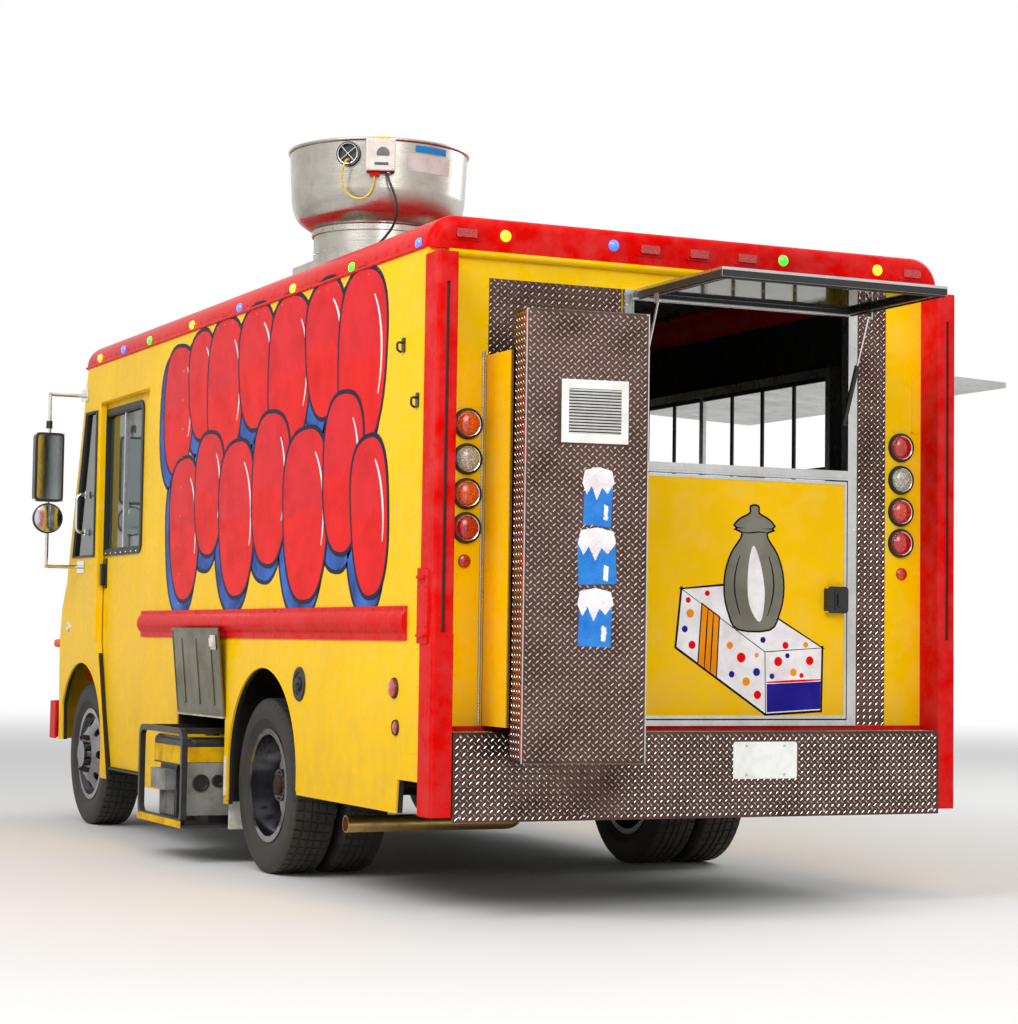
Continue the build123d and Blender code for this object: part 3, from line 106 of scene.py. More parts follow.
FLOOR_RADIUS = 90
FLOOR_FADE = (9.0, 26.0)
floor_mesh = bpy.data.meshes.new("studio_floor")
floor_mesh.from_pydata([(-FLOOR_RADIUS, -FLOOR_RADIUS, 0), (FLOOR_RADIUS, -FLOOR_RADIUS, 0),
                        (FLOOR_RADIUS, FLOOR_RADIUS, 0), (-FLOOR_RADIUS, FLOOR_RADIUS, 0)], [], [(0, 1, 2, 3)])
floor = bpy.data.objects.new("studio_floor", floor_mesh)
scene.collection.objects.link(floor)
floor_material = new_material("studio_floor")
tree = floor_material.node_tree
place = node(tree, "TexCoord").outputs["Object"]
distance = node(tree, "VectorMath", {0: place}, operation="LENGTH").outputs["Value"]
far = node(tree, "MapRange", {"Value": distance, "From Min": FLOOR_FADE[0], "From Max": FLOOR_FADE[1]},
           interpolation_type="SMOOTHSTEP").outputs["Result"]
near_floor = node(tree, "BsdfPrincipled", {"Base Color": rgb(226, 225, 222), "Roughness": 0.75})
far_floor = node(tree, "Emission", {"Color": (1, 1, 1, 1), "Strength": 1.0})
far_seen = node(tree, "Math", {0: far, 1: only_seen(tree)}, operation="MULTIPLY").outputs[0]
mixed = node(tree, "MixShader", {"Fac": far_seen, 1: near_floor.outputs[0], 2: far_floor.outputs[0]})
node(tree, "OutputMaterial", {"Surface": mixed.outputs[0]})
floor_mesh.materials.append(floor_material)

world = bpy.data.worlds.new("studio")
scene.world = world
world.use_nodes = True
tree = world.node_tree
tree.nodes.clear()
sky_light = node(tree, "Background", {"Color": (0.93, 0.96, 1.0, 1), "Strength": 0.5})
sky_seen = node(tree, "Background", {"Color": (1, 1, 1, 1), "Strength": 1.0})
sky = node(tree, "MixShader", {"Fac": only_seen(tree), 1: sky_light.outputs[0], 2: sky_seen.outputs[0]})
node(tree, "OutputWorld", {"Surface": sky.outputs[0]})

# Lamps: name, place, target, size, watts
LAMPS = (
    ("key_lamp", (9.0, 4.5, 9.5), (0.6, -0.5, 1.2), 7.0, 980),
    ("rear_lamp", (1.5, 12.0, 8.0), (0.0, 1.9, 1.4), 6.0, 560),
    ("curb_lamp", (-10.0, -2.0, 8.0), (0.0, -1.0, 1.2), 7.0, 560),
)
for lamp_name, lamp_place, lamp_target, lamp_size, lamp_watts in LAMPS:
    lamp = bpy.data.objects.new(lamp_name, bpy.data.lights.new(lamp_name, "AREA"))
    lamp.data.energy = lamp_watts
    lamp.data.size = lamp_size
    lamp.location = lamp_place
    lamp.rotation_euler = (Vector(lamp_target) - Vector(lamp_place)).to_track_quat("-Z", "Y").to_euler()
    scene.collection.objects.link(lamp)


# Side walls: riveted aluminium sheet on posts, painted yellow and weathered by the road. The sheet is a
# little wavy, grime gathers low down and runs from the seams.
def shader_group(name, inputs, outputs):
    """A shader node group with named inputs (name, kind, start value) and outputs (name, kind)."""
    group = bpy.data.node_groups.new(name, "ShaderNodeTree")
    for socket_name, kind, value in inputs:
        socket = group.interface.new_socket(name=socket_name, in_out="INPUT", socket_type="NodeSocket" + kind)
        socket.default_value = value
    for socket_name, kind in outputs:
        group.interface.new_socket(name=socket_name, in_out="OUTPUT", socket_type="NodeSocket" + kind)
    return group, group.nodes.new("NodeGroupInput").outputs, group.nodes.new("NodeGroupOutput").inputs


def noise(tree, place, scale, detail=4.0, roughness=0.55, stretch=None):
    """Noise between 0 and 1 over the object's own coordinates, stretched by a scale along X, Y and Z."""
    if stretch:
        place = node(tree, "Mapping", {"Vector": place, "Scale": stretch}).outputs["Vector"]
    return node(tree, "TexNoise", {"Vector": place, "Scale": scale, "Detail": detail,
                                   "Roughness": roughness}).outputs["Fac"]


def between(tree, value, low, high, to_low=0.0, to_high=1.0):
    """Map a value from one range to another, clamped."""
    return node(tree, "MapRange", {"Value": value, "From Min": low, "From Max": high,
                                   "To Min": to_low, "To Max": to_high}).outputs["Result"]


def sums(tree, operation, first, *others):
    """Add or multiply several values."""
    for other in others:
        first = node(tree, "Math", {0: first, 1: other}, operation=operation).outputs[0]
    return first


def mix_colour(tree, factor, first, second, blend="MIX"):
    """Mix two colours by a factor."""
    made = node(tree, "Mix", data_type="RGBA", blend_type=blend)
    for socket, value in ((made.inputs[0], factor), (made.inputs[6], first), (made.inputs[7], second)):
        if isinstance(value, bpy.types.NodeSocket):
            tree.links.new(value, socket)
        else:
            socket.default_value = value
    return made.outputs[2]


def worn_finish(name, group, wear, bump_depth, **constants):
    """A finish whose colour, roughness and relief come from a wear group; the shader's constants are plain."""
    material = new_material(name)
    tree = material.node_tree
    worn = node(tree, "Group", wear, node_tree=group)
    relief = node(tree, "Bump", {"Height": worn.outputs["Height"], "Strength": 1.0, "Distance": bump_depth})
    shader = node(tree, "BsdfPrincipled", {"Base Color": worn.outputs["Colour"],
                                           "Roughness": worn.outputs["Roughness"],
                                           "Normal": relief.outputs["Normal"],
                                           **{key.replace("_", " "): value for key, value in constants.items()}})
    node(tree, "OutputMaterial", {"Surface": shader.outputs[0]})
    return material


road_wear, given, gives = shader_group(
    "road_wear",
    (("Paint", "Color", rgb(250, 205, 12)), ("Dust", "Color", rgb(120, 98, 62)), ("Dirt", "Float", 0.5),
     ("Foot", "Float", 1.0), ("Gloss", "Float", 0.3), ("Waves", "Float", 1.0)),
    (("Colour", "Color"), ("Roughness", "Float"), ("Height", "Float")))
place = node(road_wear, "TexCoord").outputs["Object"]
cloudy = noise(road_wear, place, 1.6, 3)
mottled = noise(road_wear, place, 9, 5, 0.6)
streaky = between(road_wear, noise(road_wear, place, 1.0, 5, 0.6, stretch=(13, 13, 0.6)), 0.55, 0.75)
specks = between(road_wear, noise(road_wear, place, 70, 3, 0.7), 0.66, 0.74)
height_up = node(road_wear, "SeparateXYZ", {0: place}).outputs["Z"]
near_ground = node(road_wear, "MapRange", {"Value": height_up, "From Min": given["Foot"],
                                           "From Max": 0.2}).outputs["Result"]
splash = sums(road_wear, "MULTIPLY", near_ground, between(road_wear, mottled, 0.3, 0.75, 0.1, 1.0), 0.75)
blotches = sums(road_wear, "MULTIPLY", between(road_wear, cloudy, 0.48, 0.8),
                between(road_wear, mottled, 0.45, 0.75), 0.3)
dirt = sums(road_wear, "ADD", sums(road_wear, "MULTIPLY", streaky, 0.12), splash, blotches,
            sums(road_wear, "MULTIPLY", specks, 0.22))
dirt = sums(road_wear, "MULTIPLY", dirt, given["Dirt"])
dirt = node(road_wear, "Clamp", {"Value": dirt, "Max": 0.9}).outputs[0]
faded = node(road_wear, "HueSaturation", {"Color": given["Paint"],
                                          "Value": between(road_wear, cloudy, 0.3, 0.7, 0.93, 1.04),
                                          "Saturation": between(road_wear, mottled, 0.3, 0.7, 1.02, 0.96)}).outputs[0]
road_wear.links.new(mix_colour(road_wear, dirt, faded, given["Dust"]), gives["Colour"])
road_wear.links.new(sums(road_wear, "ADD", sums(road_wear, "MULTIPLY", dirt, 0.5),
                         between(road_wear, mottled, 0.3, 0.7, -0.03, 0.05), given["Gloss"]), gives["Roughness"])
road_wear.links.new(sums(road_wear, "ADD",
                         sums(road_wear, "MULTIPLY", noise(road_wear, place, 2.2, 0), given["Waves"]),
                         sums(road_wear, "MULTIPLY", noise(road_wear, place, 260, 2), 0.004)), gives["Height"])


def painted(name, paint, dust, dirt, foot, gloss, waves, bump_depth=0.006, **constants):
    """Paint with road wear: its own colour, the dust's, how dirty, from what height, how glossy, how wavy."""
    return worn_finish(name, road_wear, {"Paint": paint, "Dust": dust, "Dirt": dirt, "Foot": foot,
                                         "Gloss": gloss, "Waves": waves}, bump_depth, **constants)


def dress(material, *names):
    """Give CAD nodes one material."""
    for name in names:
        nodes[name].data.materials.clear()
        nodes[name].data.materials.append(material)


def face_at(origin, across, up, out):
    """A flat face as a matrix: x runs across it, y up it and z out of it."""
    return Matrix.Translation(origin) @ Matrix((Vector(across).normalized(), Vector(up).normalized(),
                                                Vector(out).normalized())).transposed().to_4x4()


def block(shape, low, high, face=Matrix()):
    """Add a block between two corners, in a face's own directions."""
    for vert in bmesh.ops.create_cube(shape, size=1)["verts"]:
        vert.co = face @ Vector([low[i] + (vert.co[i] + 0.5) * (high[i] - low[i]) for i in range(3)])


def rod(shape, start, end, radius, sides=16, tip=None):
    """Add a round bar between two points; tip is its radius at the far end."""
    way = Vector(end) - Vector(start)
    matrix = Matrix.Translation((Vector(start) + Vector(end)) / 2) @ way.to_track_quat("Z", "Y").to_matrix().to_4x4()
    bmesh.ops.create_cone(shape, cap_ends=True, segments=sides, radius1=radius,
                          radius2=radius if tip is None else tip, depth=way.length, matrix=matrix)


def band(shape, first, second):
    """Join two rings of points with faces."""
    return [shape.faces.new((first[i - 1], first[i], second[i], second[i - 1])) for i in range(len(first))]


def piece(name, shape, body, slot, *materials, smooth=35, bevel=0.0):
    """Make a shape into a piece that rides on a body and wears the given materials; slot is not used."""
    bmesh.ops.recalc_face_normals(shape, faces=shape.faces[:])
    bmesh.ops.triangulate(shape, faces=[made for made in shape.faces if len(made.verts) > 4])
    mesh = bpy.data.meshes.new(name)
    shape.to_mesh(mesh)
    shape.free()
    for material in materials:
        mesh.materials.append(material)
    made = bpy.data.objects.new(name, mesh)
    scene.collection.objects.link(made)
    if smooth:
        mesh.shade_smooth()
        mesh.set_sharp_from_angle(angle=radians(smooth))
    if bevel:
        edges = made.modifiers.new("soft_edges", "BEVEL")
        edges.width = bevel
        edges.segments = 2
        edges.limit_method = "ANGLE"
        edges.angle_limit = radians(40)
    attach(made, body)
    return made


def rivet(shape, x, y, face, radius=0.005, height=0.002):
    """Add a low rivet head on a face."""
    rod(shape, face @ Vector((x, y, -0.0005)), face @ Vector((x, y, height)), radius, 8, radius * 0.55)


WALL_X = 1.215
left_wall = face_at((WALL_X, 0, 0), (0, 1, 0), (0, 0, 1), (1, 0, 0))
right_wall = face_at((-WALL_X, 0, 0), (0, 1, 0), (0, 0, 1), (-1, 0, 0))
YELLOW, YELLOW_DUST = rgb(252, 202, 4), rgb(150, 108, 30)
wall_paint, cab_door_paint = (painted(name, YELLOW, YELLOW_DUST, 0.6, 1.0, 0.26, 1.0, 0.012,
                                      Specular_IOR_Level=0.03, Coat_Weight=0.01, Coat_Roughness=0.15)
                              for name in ("wall_paint", "cab_door_paint"))
dress(wall_paint, "side_wall_left", "side_wall_right", "rear_wall")

# Seam strips of each wall: rear end, width, foot, head. A lapped strip covers each joint of the sheets.
WALL_SEAMS = ((1.93, 0.118, 0.64, 2.64), (1.93, 0.118, 0.535, 0.632))
# Rivet columns of each wall: distance along, foot, head, pitch
RIVET_COLUMNS = ((1.847, 0.68, 2.62, 0.075), (1.905, 0.68, 2.62, 0.075), (-1.285, 1.26, 2.6, 0.15))
# Rivet rows of each wall: height, rear end, front end, pitch
RIVET_ROWS = ((2.625, 1.78, -2.9, 0.12), (0.43, 1.66, 0.6, 0.11))
for side, face in (("left", left_wall), ("right", right_wall)):
    strips = bmesh.new()
    for rear, width, foot, head in WALL_SEAMS:
        block(strips, (rear - width, foot, -0.001), (rear, head, 0.0016), face)
    piece("corner_sheets_" + side, strips, "body", "body_yellow", wall_paint, bevel=0.0006)
    rivets = bmesh.new()
    for along, foot, head, pitch in RIVET_COLUMNS:
        if side == "right" and along < 0:
            continue
        for step in range(int((head - foot) / pitch) + 1):
            rivet(rivets, along, foot + step * pitch, face, height=0.0035)
    for up, rear, front, pitch in RIVET_ROWS:
        for step in range(int((rear - front) / pitch) + 1):
            rivet(rivets, rear - step * pitch, up, face, 0.004)
    piece("wall_rivets_" + side, rivets, "body", "body_yellow", wall_paint, smooth=60)

# Wheel arch lips, rolled edges round the cut-outs: place along the wall, radius, foot at each end
ARCHES = (("front", -3.165, 0.465, 0.47, 0.31), ("rear", 0.05, 0.485, 0.31, 0.41))
ARCH_Z, ARCH_STEPS = 0.47, 36
for side, sign in (("left", 1), ("right", -1)):
    for arch, along, radius, front_foot, rear_foot in ARCHES:
        lip = bmesh.new()
        span = [(along - radius, front_foot)]
        span += [(along - radius * cos(pi * i / ARCH_STEPS),
                  ARCH_Z + radius * sin(pi * i / ARCH_STEPS)) for i in range(ARCH_STEPS + 1)]
        span += [(along + radius, rear_foot)]
        loops = []
        for step, (y, z) in enumerate(span):
            out = Vector((0, y - along, max(z - ARCH_Z, 0))).normalized()
            inner = Vector((sign * (WALL_X - 0.022), y, z)) - out * 0.004
            # Lip section: out from the wall, away from the wheel
            loops.append([lip.verts.new(inner + Vector((sign * outward, 0, 0)) + out * away) for outward, away in (
                (0, 0), (0.0245, 0), (0.0245, 0.016), (0.021, 0.016), (0.021, 0.006), (0, 0.003))])
        for first, second in zip(loops, loops[1:]):
            band(lip, first, second)
        lip.faces.new(loops[0])
        lip.faces.new(loops[-1])
        piece("arch_lip_" + arch + "_" + side, lip, "body", "body_yellow", wall_paint)


# Side artwork: two rows of painted balloon shapes on the street wall and three shapes on the kerb wall,
# coral above a scalloped line and pure red below it, with navy outlines, blue shadows and white gleams.
uneven_paint, given, gives = shader_group(
    "uneven_paint",
    (("Base", "Color", rgb(240, 240, 236)), ("Second", "Color", rgb(220, 218, 212)), ("Scale", "Float", 10.0),
     ("Gloss", "Float", 0.3), ("Low", "Float", 0.4), ("High", "Float", 0.7)),
    (("Colour", "Color"), ("Roughness", "Float")))
place = node(uneven_paint, "TexCoord").outputs["Object"]
shade = between(uneven_paint, noise(uneven_paint, place, given["Scale"], 4, 0.6), given["Low"], given["High"])
uneven_paint.links.new(mix_colour(uneven_paint, shade, given["Base"], given["Second"]), gives["Colour"])
uneven_paint.links.new(sums(uneven_paint, "ADD", sums(uneven_paint, "MULTIPLY", shade, 0.12), given["Gloss"]),
                       gives["Roughness"])


def flat_paint(name, base, second, scale, gloss, low=0.4, high=0.7):
    """Gloss paint that varies between two colours."""
    material = new_material(name)
    tree = material.node_tree
    coat = node(tree, "Group", {"Base": base, "Second": second, "Scale": scale, "Gloss": gloss, "Low": low,
                                "High": high}, node_tree=uneven_paint).outputs
    shader = node(tree, "BsdfPrincipled", {"Base Color": coat["Colour"], "Roughness": coat["Roughness"],
                                           "Specular IOR Level": 0.03, "Coat Weight": 0.01,
                                           "Coat Roughness": 0.12})
    node(tree, "OutputMaterial", {"Surface": shader.outputs[0]})
    return material


def plate(shape, outline, low, high, face, material=0):
    """Add a plate with any outline between two heights over a face."""
    rings = [[shape.verts.new(face @ Vector((x, y, z))) for x, y in outline] for z in (low, high)]
    for made in band(shape, *rings) + [shape.faces.new(rings[0]), shape.faces.new(rings[1])]:
        made.material_index = material


def eased(before, here, after, beyond, steps):
    """Points on a smooth curve through four points, from the second up to the third."""
    return [tuple(0.5 * (2 * here + (after - before) * t
                         + (2 * before - 5 * here + 4 * after - beyond) * t * t
                         + (3 * here - before - 3 * after + beyond) * t ** 3))
            for t in [step / steps for step in range(steps)]]


def rounded(points, steps=5):
    """A smooth closed outline through a few points."""
    count = len(points)
    curve = []
    for i in range(count):
        curve += eased(*(Vector(points[(i + k) % count]) for k in (-1, 0, 1, 2)), steps)
    return curve


def balloon(along, up, half_width, half_height, tilt, square=2.6, lower=0.12, steps=40):
    """Outline of one balloon shape, a soft rounded form that is a little narrower at its foot."""
    outline = []
    for i in range(steps):
        turn = 2 * pi * i / steps
        c, s = cos(turn), sin(turn)
        x = half_width * copysign(abs(c) ** (2 / square), c) * (1 + lower * s)
        y = half_height * copysign(abs(s) ** (2 / square), s)
        outline.append((along + x * cos(tilt) - y * sin(tilt), up + x * sin(tilt) + y * cos(tilt)))
    return outline


def upper_part(outline, level, scallop, waves):
    """The part of an outline above a scalloped line."""
    low_x = min(x for x, y in outline)
    width = max(x for x, y in outline) - low_x

    def line(x):
        return level - scallop * abs(sin(pi * waves * (x - low_x) / width))

    kept = []
    count = len(outline)
    for i, (x, y) in enumerate(outline):
        if y >= line(x):
            kept.append(i)
    start = next(i for i in kept if (i - 1) % count not in kept)
    chain = []
    i = start
    while i % count in kept and len(chain) < count:
        chain.append(outline[i % count])
        i += 1
    end_x, start_x = chain[-1][0], chain[0][0]
    chain += [(end_x + (start_x - end_x) * k / 24, line(end_x + (start_x - end_x) * k / 24)) for k in range(1, 24)]
    return chain


def stroke(points, width):
    """Outline of a painted stroke that tapers at both ends."""
    left, right = [], []
    for i, point in enumerate(points):
        before, after = Vector(points[max(i - 1, 0)]), Vector(points[min(i + 1, len(points) - 1)])
        way = (after - before).normalized()
        half = width / 2 * (0.35 + 0.65 * sin(pi * (i + 0.6) / (len(points) + 0.2)))
        left.append((point[0] - way.y * half, point[1] + way.x * half))
        right.append((point[0] + way.y * half, point[1] - way.x * half))
    return left + right[::-1]


navy_paint = flat_paint("navy_paint", rgb(16, 16, 44), rgb(28, 26, 66), 8, 0.25)
shadow_blue = flat_paint("shadow_blue", rgb(22, 44, 120), rgb(64, 116, 206), 3.5, 0.25, 0.35, 0.65)
art_red = flat_paint("art_red", rgb(236, 14, 8), rgb(214, 10, 10), 6, 0.22)
art_coral = flat_paint("art_coral", rgb(226, 26, 34), rgb(208, 20, 30), 5, 0.22)
art_white = flat_paint("art_white", rgb(244, 240, 240), rgb(226, 214, 216), 12, 0.25)
ART_COATS = (navy_paint, shadow_blue, art_red, art_coral, art_white)
# Balloons: distance along the wall, height, half width, half height, tilt in degrees
BALLOONS_LEFT = (
    (-1.36, 2.26, 0.25, 0.33, -6), (-0.98, 2.36, 0.2, 0.27, 5), (-0.6, 2.29, 0.27, 0.36, -3),
    (-0.13, 2.37, 0.25, 0.29, 4), (0.33, 2.29, 0.28, 0.36, -5), (0.8, 2.36, 0.24, 0.3, 6),
    (1.24, 2.27, 0.27, 0.38, -3),
    (-1.22, 1.64, 0.24, 0.36, 4), (-0.82, 1.8, 0.22, 0.3, -4), (-0.38, 1.66, 0.26, 0.37, 3),
    (0.1, 1.78, 0.25, 0.35, -6), (0.58, 1.64, 0.28, 0.38, 2), (1.04, 1.8, 0.23, 0.34, -3),
    (1.36, 1.6, 0.2, 0.33, 7),
)
BALLOONS_RIGHT = ((1.5, 2.1, 0.22, 0.34, 4), (1.46, 1.52, 0.19, 0.25, -6), (-1.56, 2.02, 0.2, 0.32, -4))
OUTLINE_T, SHADOW_SHIFT, COAT_STEP = 0.02, (-0.05, -0.055), 0.00005


def balloon_art(name, balloons, face):
    """Paint balloons on a face, each over the one before."""
    art = bmesh.new()
    lift = 0.0002
    for along, up, half_width, half_height, tilt in balloons:
        grown = balloon(along, up, half_width + OUTLINE_T, half_height + OUTLINE_T, radians(tilt))
        cast = [(x + SHADOW_SHIFT[0], y + SHADOW_SHIFT[1]) for x, y in grown]
        edge = balloon(along + SHADOW_SHIFT[0], up + SHADOW_SHIFT[1], half_width + 2 * OUTLINE_T,
                       half_height + 2 * OUTLINE_T, radians(tilt))
        plate(art, edge, 0, lift, face, 0)
        plate(art, cast, 0, lift + COAT_STEP, face, 1)
    lift += 2 * COAT_STEP
    for along, up, half_width, half_height, tilt in balloons:
        lean = radians(tilt)
        body = balloon(along, up, half_width, half_height, lean)
        plate(art, balloon(along, up, half_width + OUTLINE_T, half_height + OUTLINE_T, lean), 0, lift, face, 0)
        plate(art, body, 0, lift + COAT_STEP, face, 2)
        top = balloon(along, up, half_width - 0.004, half_height - 0.004, lean)
        plate(art, upper_part(top, up + 0.05, 0.06, 3), 0, lift + 2 * COAT_STEP, face, 3)
        wide, tall = half_width - 0.045, half_height - 0.06
        gleam = [(along + wide * cos(turn) * cos(lean) - tall * sin(turn) * sin(lean),
                  up + wide * cos(turn) * sin(lean) + tall * sin(turn) * cos(lean))
                 for turn in [radians(-28 + 8.5 * k) for k in range(11)]]
        plate(art, stroke(gleam, 0.02), 0, lift + 3 * COAT_STEP, face, 4)
        lift += 4 * COAT_STEP
    return piece(name, art, "body", "body_yellow", *ART_COATS, smooth=0)


balloon_art("side_artwork_left", BALLOONS_LEFT, left_wall)
balloon_art("side_artwork_right", BALLOONS_RIGHT, right_wall)


# Rub rails: pressed aluminium rails along both walls, painted red, a half-round bead between two flat
# flanges. They are screwed on through the flanges, and rubbed dull where they touch things.
def shifted(face, x, y, z=0.0):
    """A face moved along itself, and out by z."""
    return face @ Matrix.Translation((x, y, z))


red_paint = painted("red_paint", rgb(218, 18, 14), rgb(150, 26, 16), 0.35, 1.3, 0.26, 0.25, 0.012,
                    Specular_IOR_Level=0.03, Coat_Weight=0.01, Coat_Roughness=0.12)
RAIL_SPAN, RAIL_FOOT, RAIL_TOP, RAIL_PROUD, FLANGE_T = (-1.945, 1.79), 1.085, 1.225, 0.028, 0.006
rail_profile = [(0, RAIL_FOOT), (FLANGE_T, RAIL_FOOT), (FLANGE_T, RAIL_FOOT + 0.026)]
rail_profile += [(FLANGE_T + (RAIL_PROUD - FLANGE_T) * sin(pi * step / 12) ** 0.7,
                  RAIL_FOOT + 0.028 + 0.092 * step / 12) for step in range(13)]
rail_profile += [(FLANGE_T, RAIL_TOP - 0.018), (FLANGE_T, RAIL_TOP), (0, RAIL_TOP)]
rails = bmesh.new()
for side, face in (("left", left_wall), ("right", right_wall)):
    ends = [[rails.verts.new(face @ Vector((along, up, proud))) for proud, up in rail_profile] for along in RAIL_SPAN]
    band(rails, *ends)
    rails.faces.new(ends[0])
    rails.faces.new(ends[1])
    for along in [RAIL_SPAN[0] + 0.06 + 0.302 * step for step in range(13)]:
        for up in (RAIL_FOOT + 0.012, RAIL_TOP - 0.009):
            rivet(rails, along, up, shifted(face, 0, 0, FLANGE_T), 0.006, 0.003)
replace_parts(piece("moulded_rub_rails", rails, "body", "rail_red", red_paint, smooth=50), "rub_rails")


# Cab sides: sliding doors of painted sheet with rubber-framed windows, a rubber-framed quarter window
# ahead of each, a chrome grab handle on the wall and a black paddle latch on the door.
dress(cab_door_paint, "cab_door_left", "cab_door_right")
rubber_black = painted("rubber_black", rgb(24, 24, 25), rgb(92, 80, 62), 0.45, 1.0, 0.5, 0.1, 0.002)
plastic_black = painted("plastic_black", rgb(22, 22, 24), rgb(88, 78, 64), 0.3, 0.9, 0.34, 0.1, 0.002)


def worn_metal(name, metal, dull, tarnish, gloss, brush=(1, 1, 1), bump_depth=0.0008, **constants):
    """Bare metal: its colour, its dulled colour, how tarnished, how glossy, and the way it is brushed."""
    return worn_finish(name, bare_metal, {"Metal": metal, "Dull": dull, "Tarnish": tarnish, "Gloss": gloss,
                                          "Brush": brush}, bump_depth, Metallic=1.0, **constants)


bare_metal, given, gives = shader_group(
    "bare_metal",
    (("Metal", "Color", rgb(190, 190, 190)), ("Dull", "Color", rgb(120, 116, 108)), ("Tarnish", "Float", 0.5),
     ("Gloss", "Float", 0.3), ("Brush", "Vector", (1, 1, 1))),
    (("Colour", "Color"), ("Roughness", "Float"), ("Height", "Float")))
place = node(bare_metal, "TexCoord").outputs["Object"]
brushed = node(bare_metal, "VectorMath", {0: place, 1: given["Brush"]}, operation="MULTIPLY").outputs[0]
grain = noise(bare_metal, brushed, 160, 3, 0.7)
patches = between(bare_metal, noise(bare_metal, place, 5, 5, 0.65), 0.38, 0.72)
scuffs = noise(bare_metal, place, 34, 4, 0.7)
tarnish = sums(bare_metal, "ADD", patches, between(bare_metal, scuffs, 0.58, 0.68, 0.0, 0.35))
tarnish = node(bare_metal, "Clamp", {"Value": sums(bare_metal, "MULTIPLY", tarnish, given["Tarnish"])}).outputs[0]
bare_metal.links.new(mix_colour(bare_metal, tarnish, given["Metal"], given["Dull"]), gives["Colour"])
bare_metal.links.new(sums(bare_metal, "ADD", sums(bare_metal, "MULTIPLY", tarnish, 0.28),
                          between(bare_metal, grain, 0.3, 0.7, -0.06, 0.08), given["Gloss"]), gives["Roughness"])
bare_metal.links.new(sums(bare_metal, "ADD", sums(bare_metal, "MULTIPLY", grain, 0.1),
                          sums(bare_metal, "MULTIPLY", scuffs, 0.2)), gives["Height"])
chrome = worn_metal("chrome", rgb(228, 228, 226), rgb(150, 138, 120), 0.35, 0.09)
bright_metal = worn_metal("bright_metal", rgb(206, 206, 206), rgb(146, 142, 134), 0.4, 0.25, (1, 1, 0.05))


dusty_glass, given, gives = shader_group("dusty_glass", (("Gloss", "Float", 0.02),), (("Roughness", "Float"),))
place = node(dusty_glass, "TexCoord").outputs["Object"]
smear = between(dusty_glass, noise(dusty_glass, place, 14, 5, 0.7), 0.4, 0.8)
dusty_glass.links.new(sums(dusty_glass, "ADD", sums(dusty_glass, "MULTIPLY", smear, 0.1), given["Gloss"]),
                      gives["Roughness"])


def glazing(name, tint, roughness=0.02):
    """Window glass, slightly tinted and smeared with dust."""
    material = new_material(name)
    tree = material.node_tree
    dusty = node(tree, "Group", {"Gloss": roughness}, node_tree=dusty_glass)
    shader = node(tree, "BsdfPrincipled", {"Base Color": tint, "Transmission Weight": 1.0, "IOR": 1.45,
                                           "Roughness": dusty.outputs["Roughness"]})
    node(tree, "OutputMaterial", {"Surface": shader.outputs[0]})
    return material


cab_tint = glazing("cab_tint", rgb(120, 136, 130))
dress(cab_tint, "door_glass_left", "door_glass_right", "cab_glass")


def gasket(shape, outline, face, inner, outer, low, high):
    """Add a strip that follows a closed outline, from an inner to an outer offset, as a frame on a face."""
    loops = []
    count = len(outline)
    for i, (x, y) in enumerate(outline):
        way = (Vector(outline[(i + 1) % count]) - Vector(outline[i - 1])).normalized()
        out = Vector((way.y, -way.x))
        loops.append([shape.verts.new(face @ Vector((x + out.x * reach, y + out.y * reach, height)))
                      for reach, height in ((inner, low), (inner, high), (outer, high), (outer, low))])
    for i in range(count):
        for k in range(4):
            shape.faces.new((loops[i - 1][k - 1], loops[i][k - 1], loops[i][k], loops[i - 1][k]))


def rounded_box(x0, x1, y0, y1, radius, steps=6):
    """Outline of a rectangle with round corners, counter-clockwise."""
    outline = []
    for x, y, start in ((x1 - radius, y0 + radius, -90), (x1 - radius, y1 - radius, 0),
                        (x0 + radius, y1 - radius, 90), (x0 + radius, y0 + radius, 180)):
        for step in range(steps + 1):
            turn = radians(start + 90 * step / steps)
            outline.append((x + radius * cos(turn), y + radius * sin(turn)))
    return outline


def along_path(shape, points, radius, sides=10, closed=False):
    """Add a tube along a path of points."""
    points = [Vector(point) for point in points]
    count = len(points)
    rings = []
    side = None
    for i, point in enumerate(points):
        before = points[i - 1] if closed or i else point
        after = points[(i + 1) % count] if closed or i < count - 1 else point
        way = (after - before).normalized()
        if side is None:
            side = way.orthogonal().normalized()
        side = (side - way * side.dot(way)).normalized()
        other = way.cross(side)
        rings.append([shape.verts.new(point + (side * cos(2 * pi * k / sides)
                                               + other * sin(2 * pi * k / sides)) * radius)
                      for k in range(sides)])
    for first, second in list(zip(rings, rings[1:])) + ([(rings[-1], rings[0])] if closed else []):
        band(shape, first, second)
    if not closed:
        shape.faces.new(rings[0])
        shape.faces.new(rings[-1])


def bent(points, radius, steps=5):
    """A path of straight runs with its corners rounded, for a bent tube."""
    points = [Vector(point) for point in points]
    path = [points[0]]
    for before, corner, after in zip(points, points[1:], points[2:]):
        into, out = (before - corner).normalized(), (after - corner).normalized()
        for step in range(steps + 1):
            t = step / steps
            path.append((corner + into * radius) * (1 - t) ** 2 + corner * (2 * t * (1 - t))
                        + (corner + out * radius) * t ** 2)
    return path + [points[-1]]


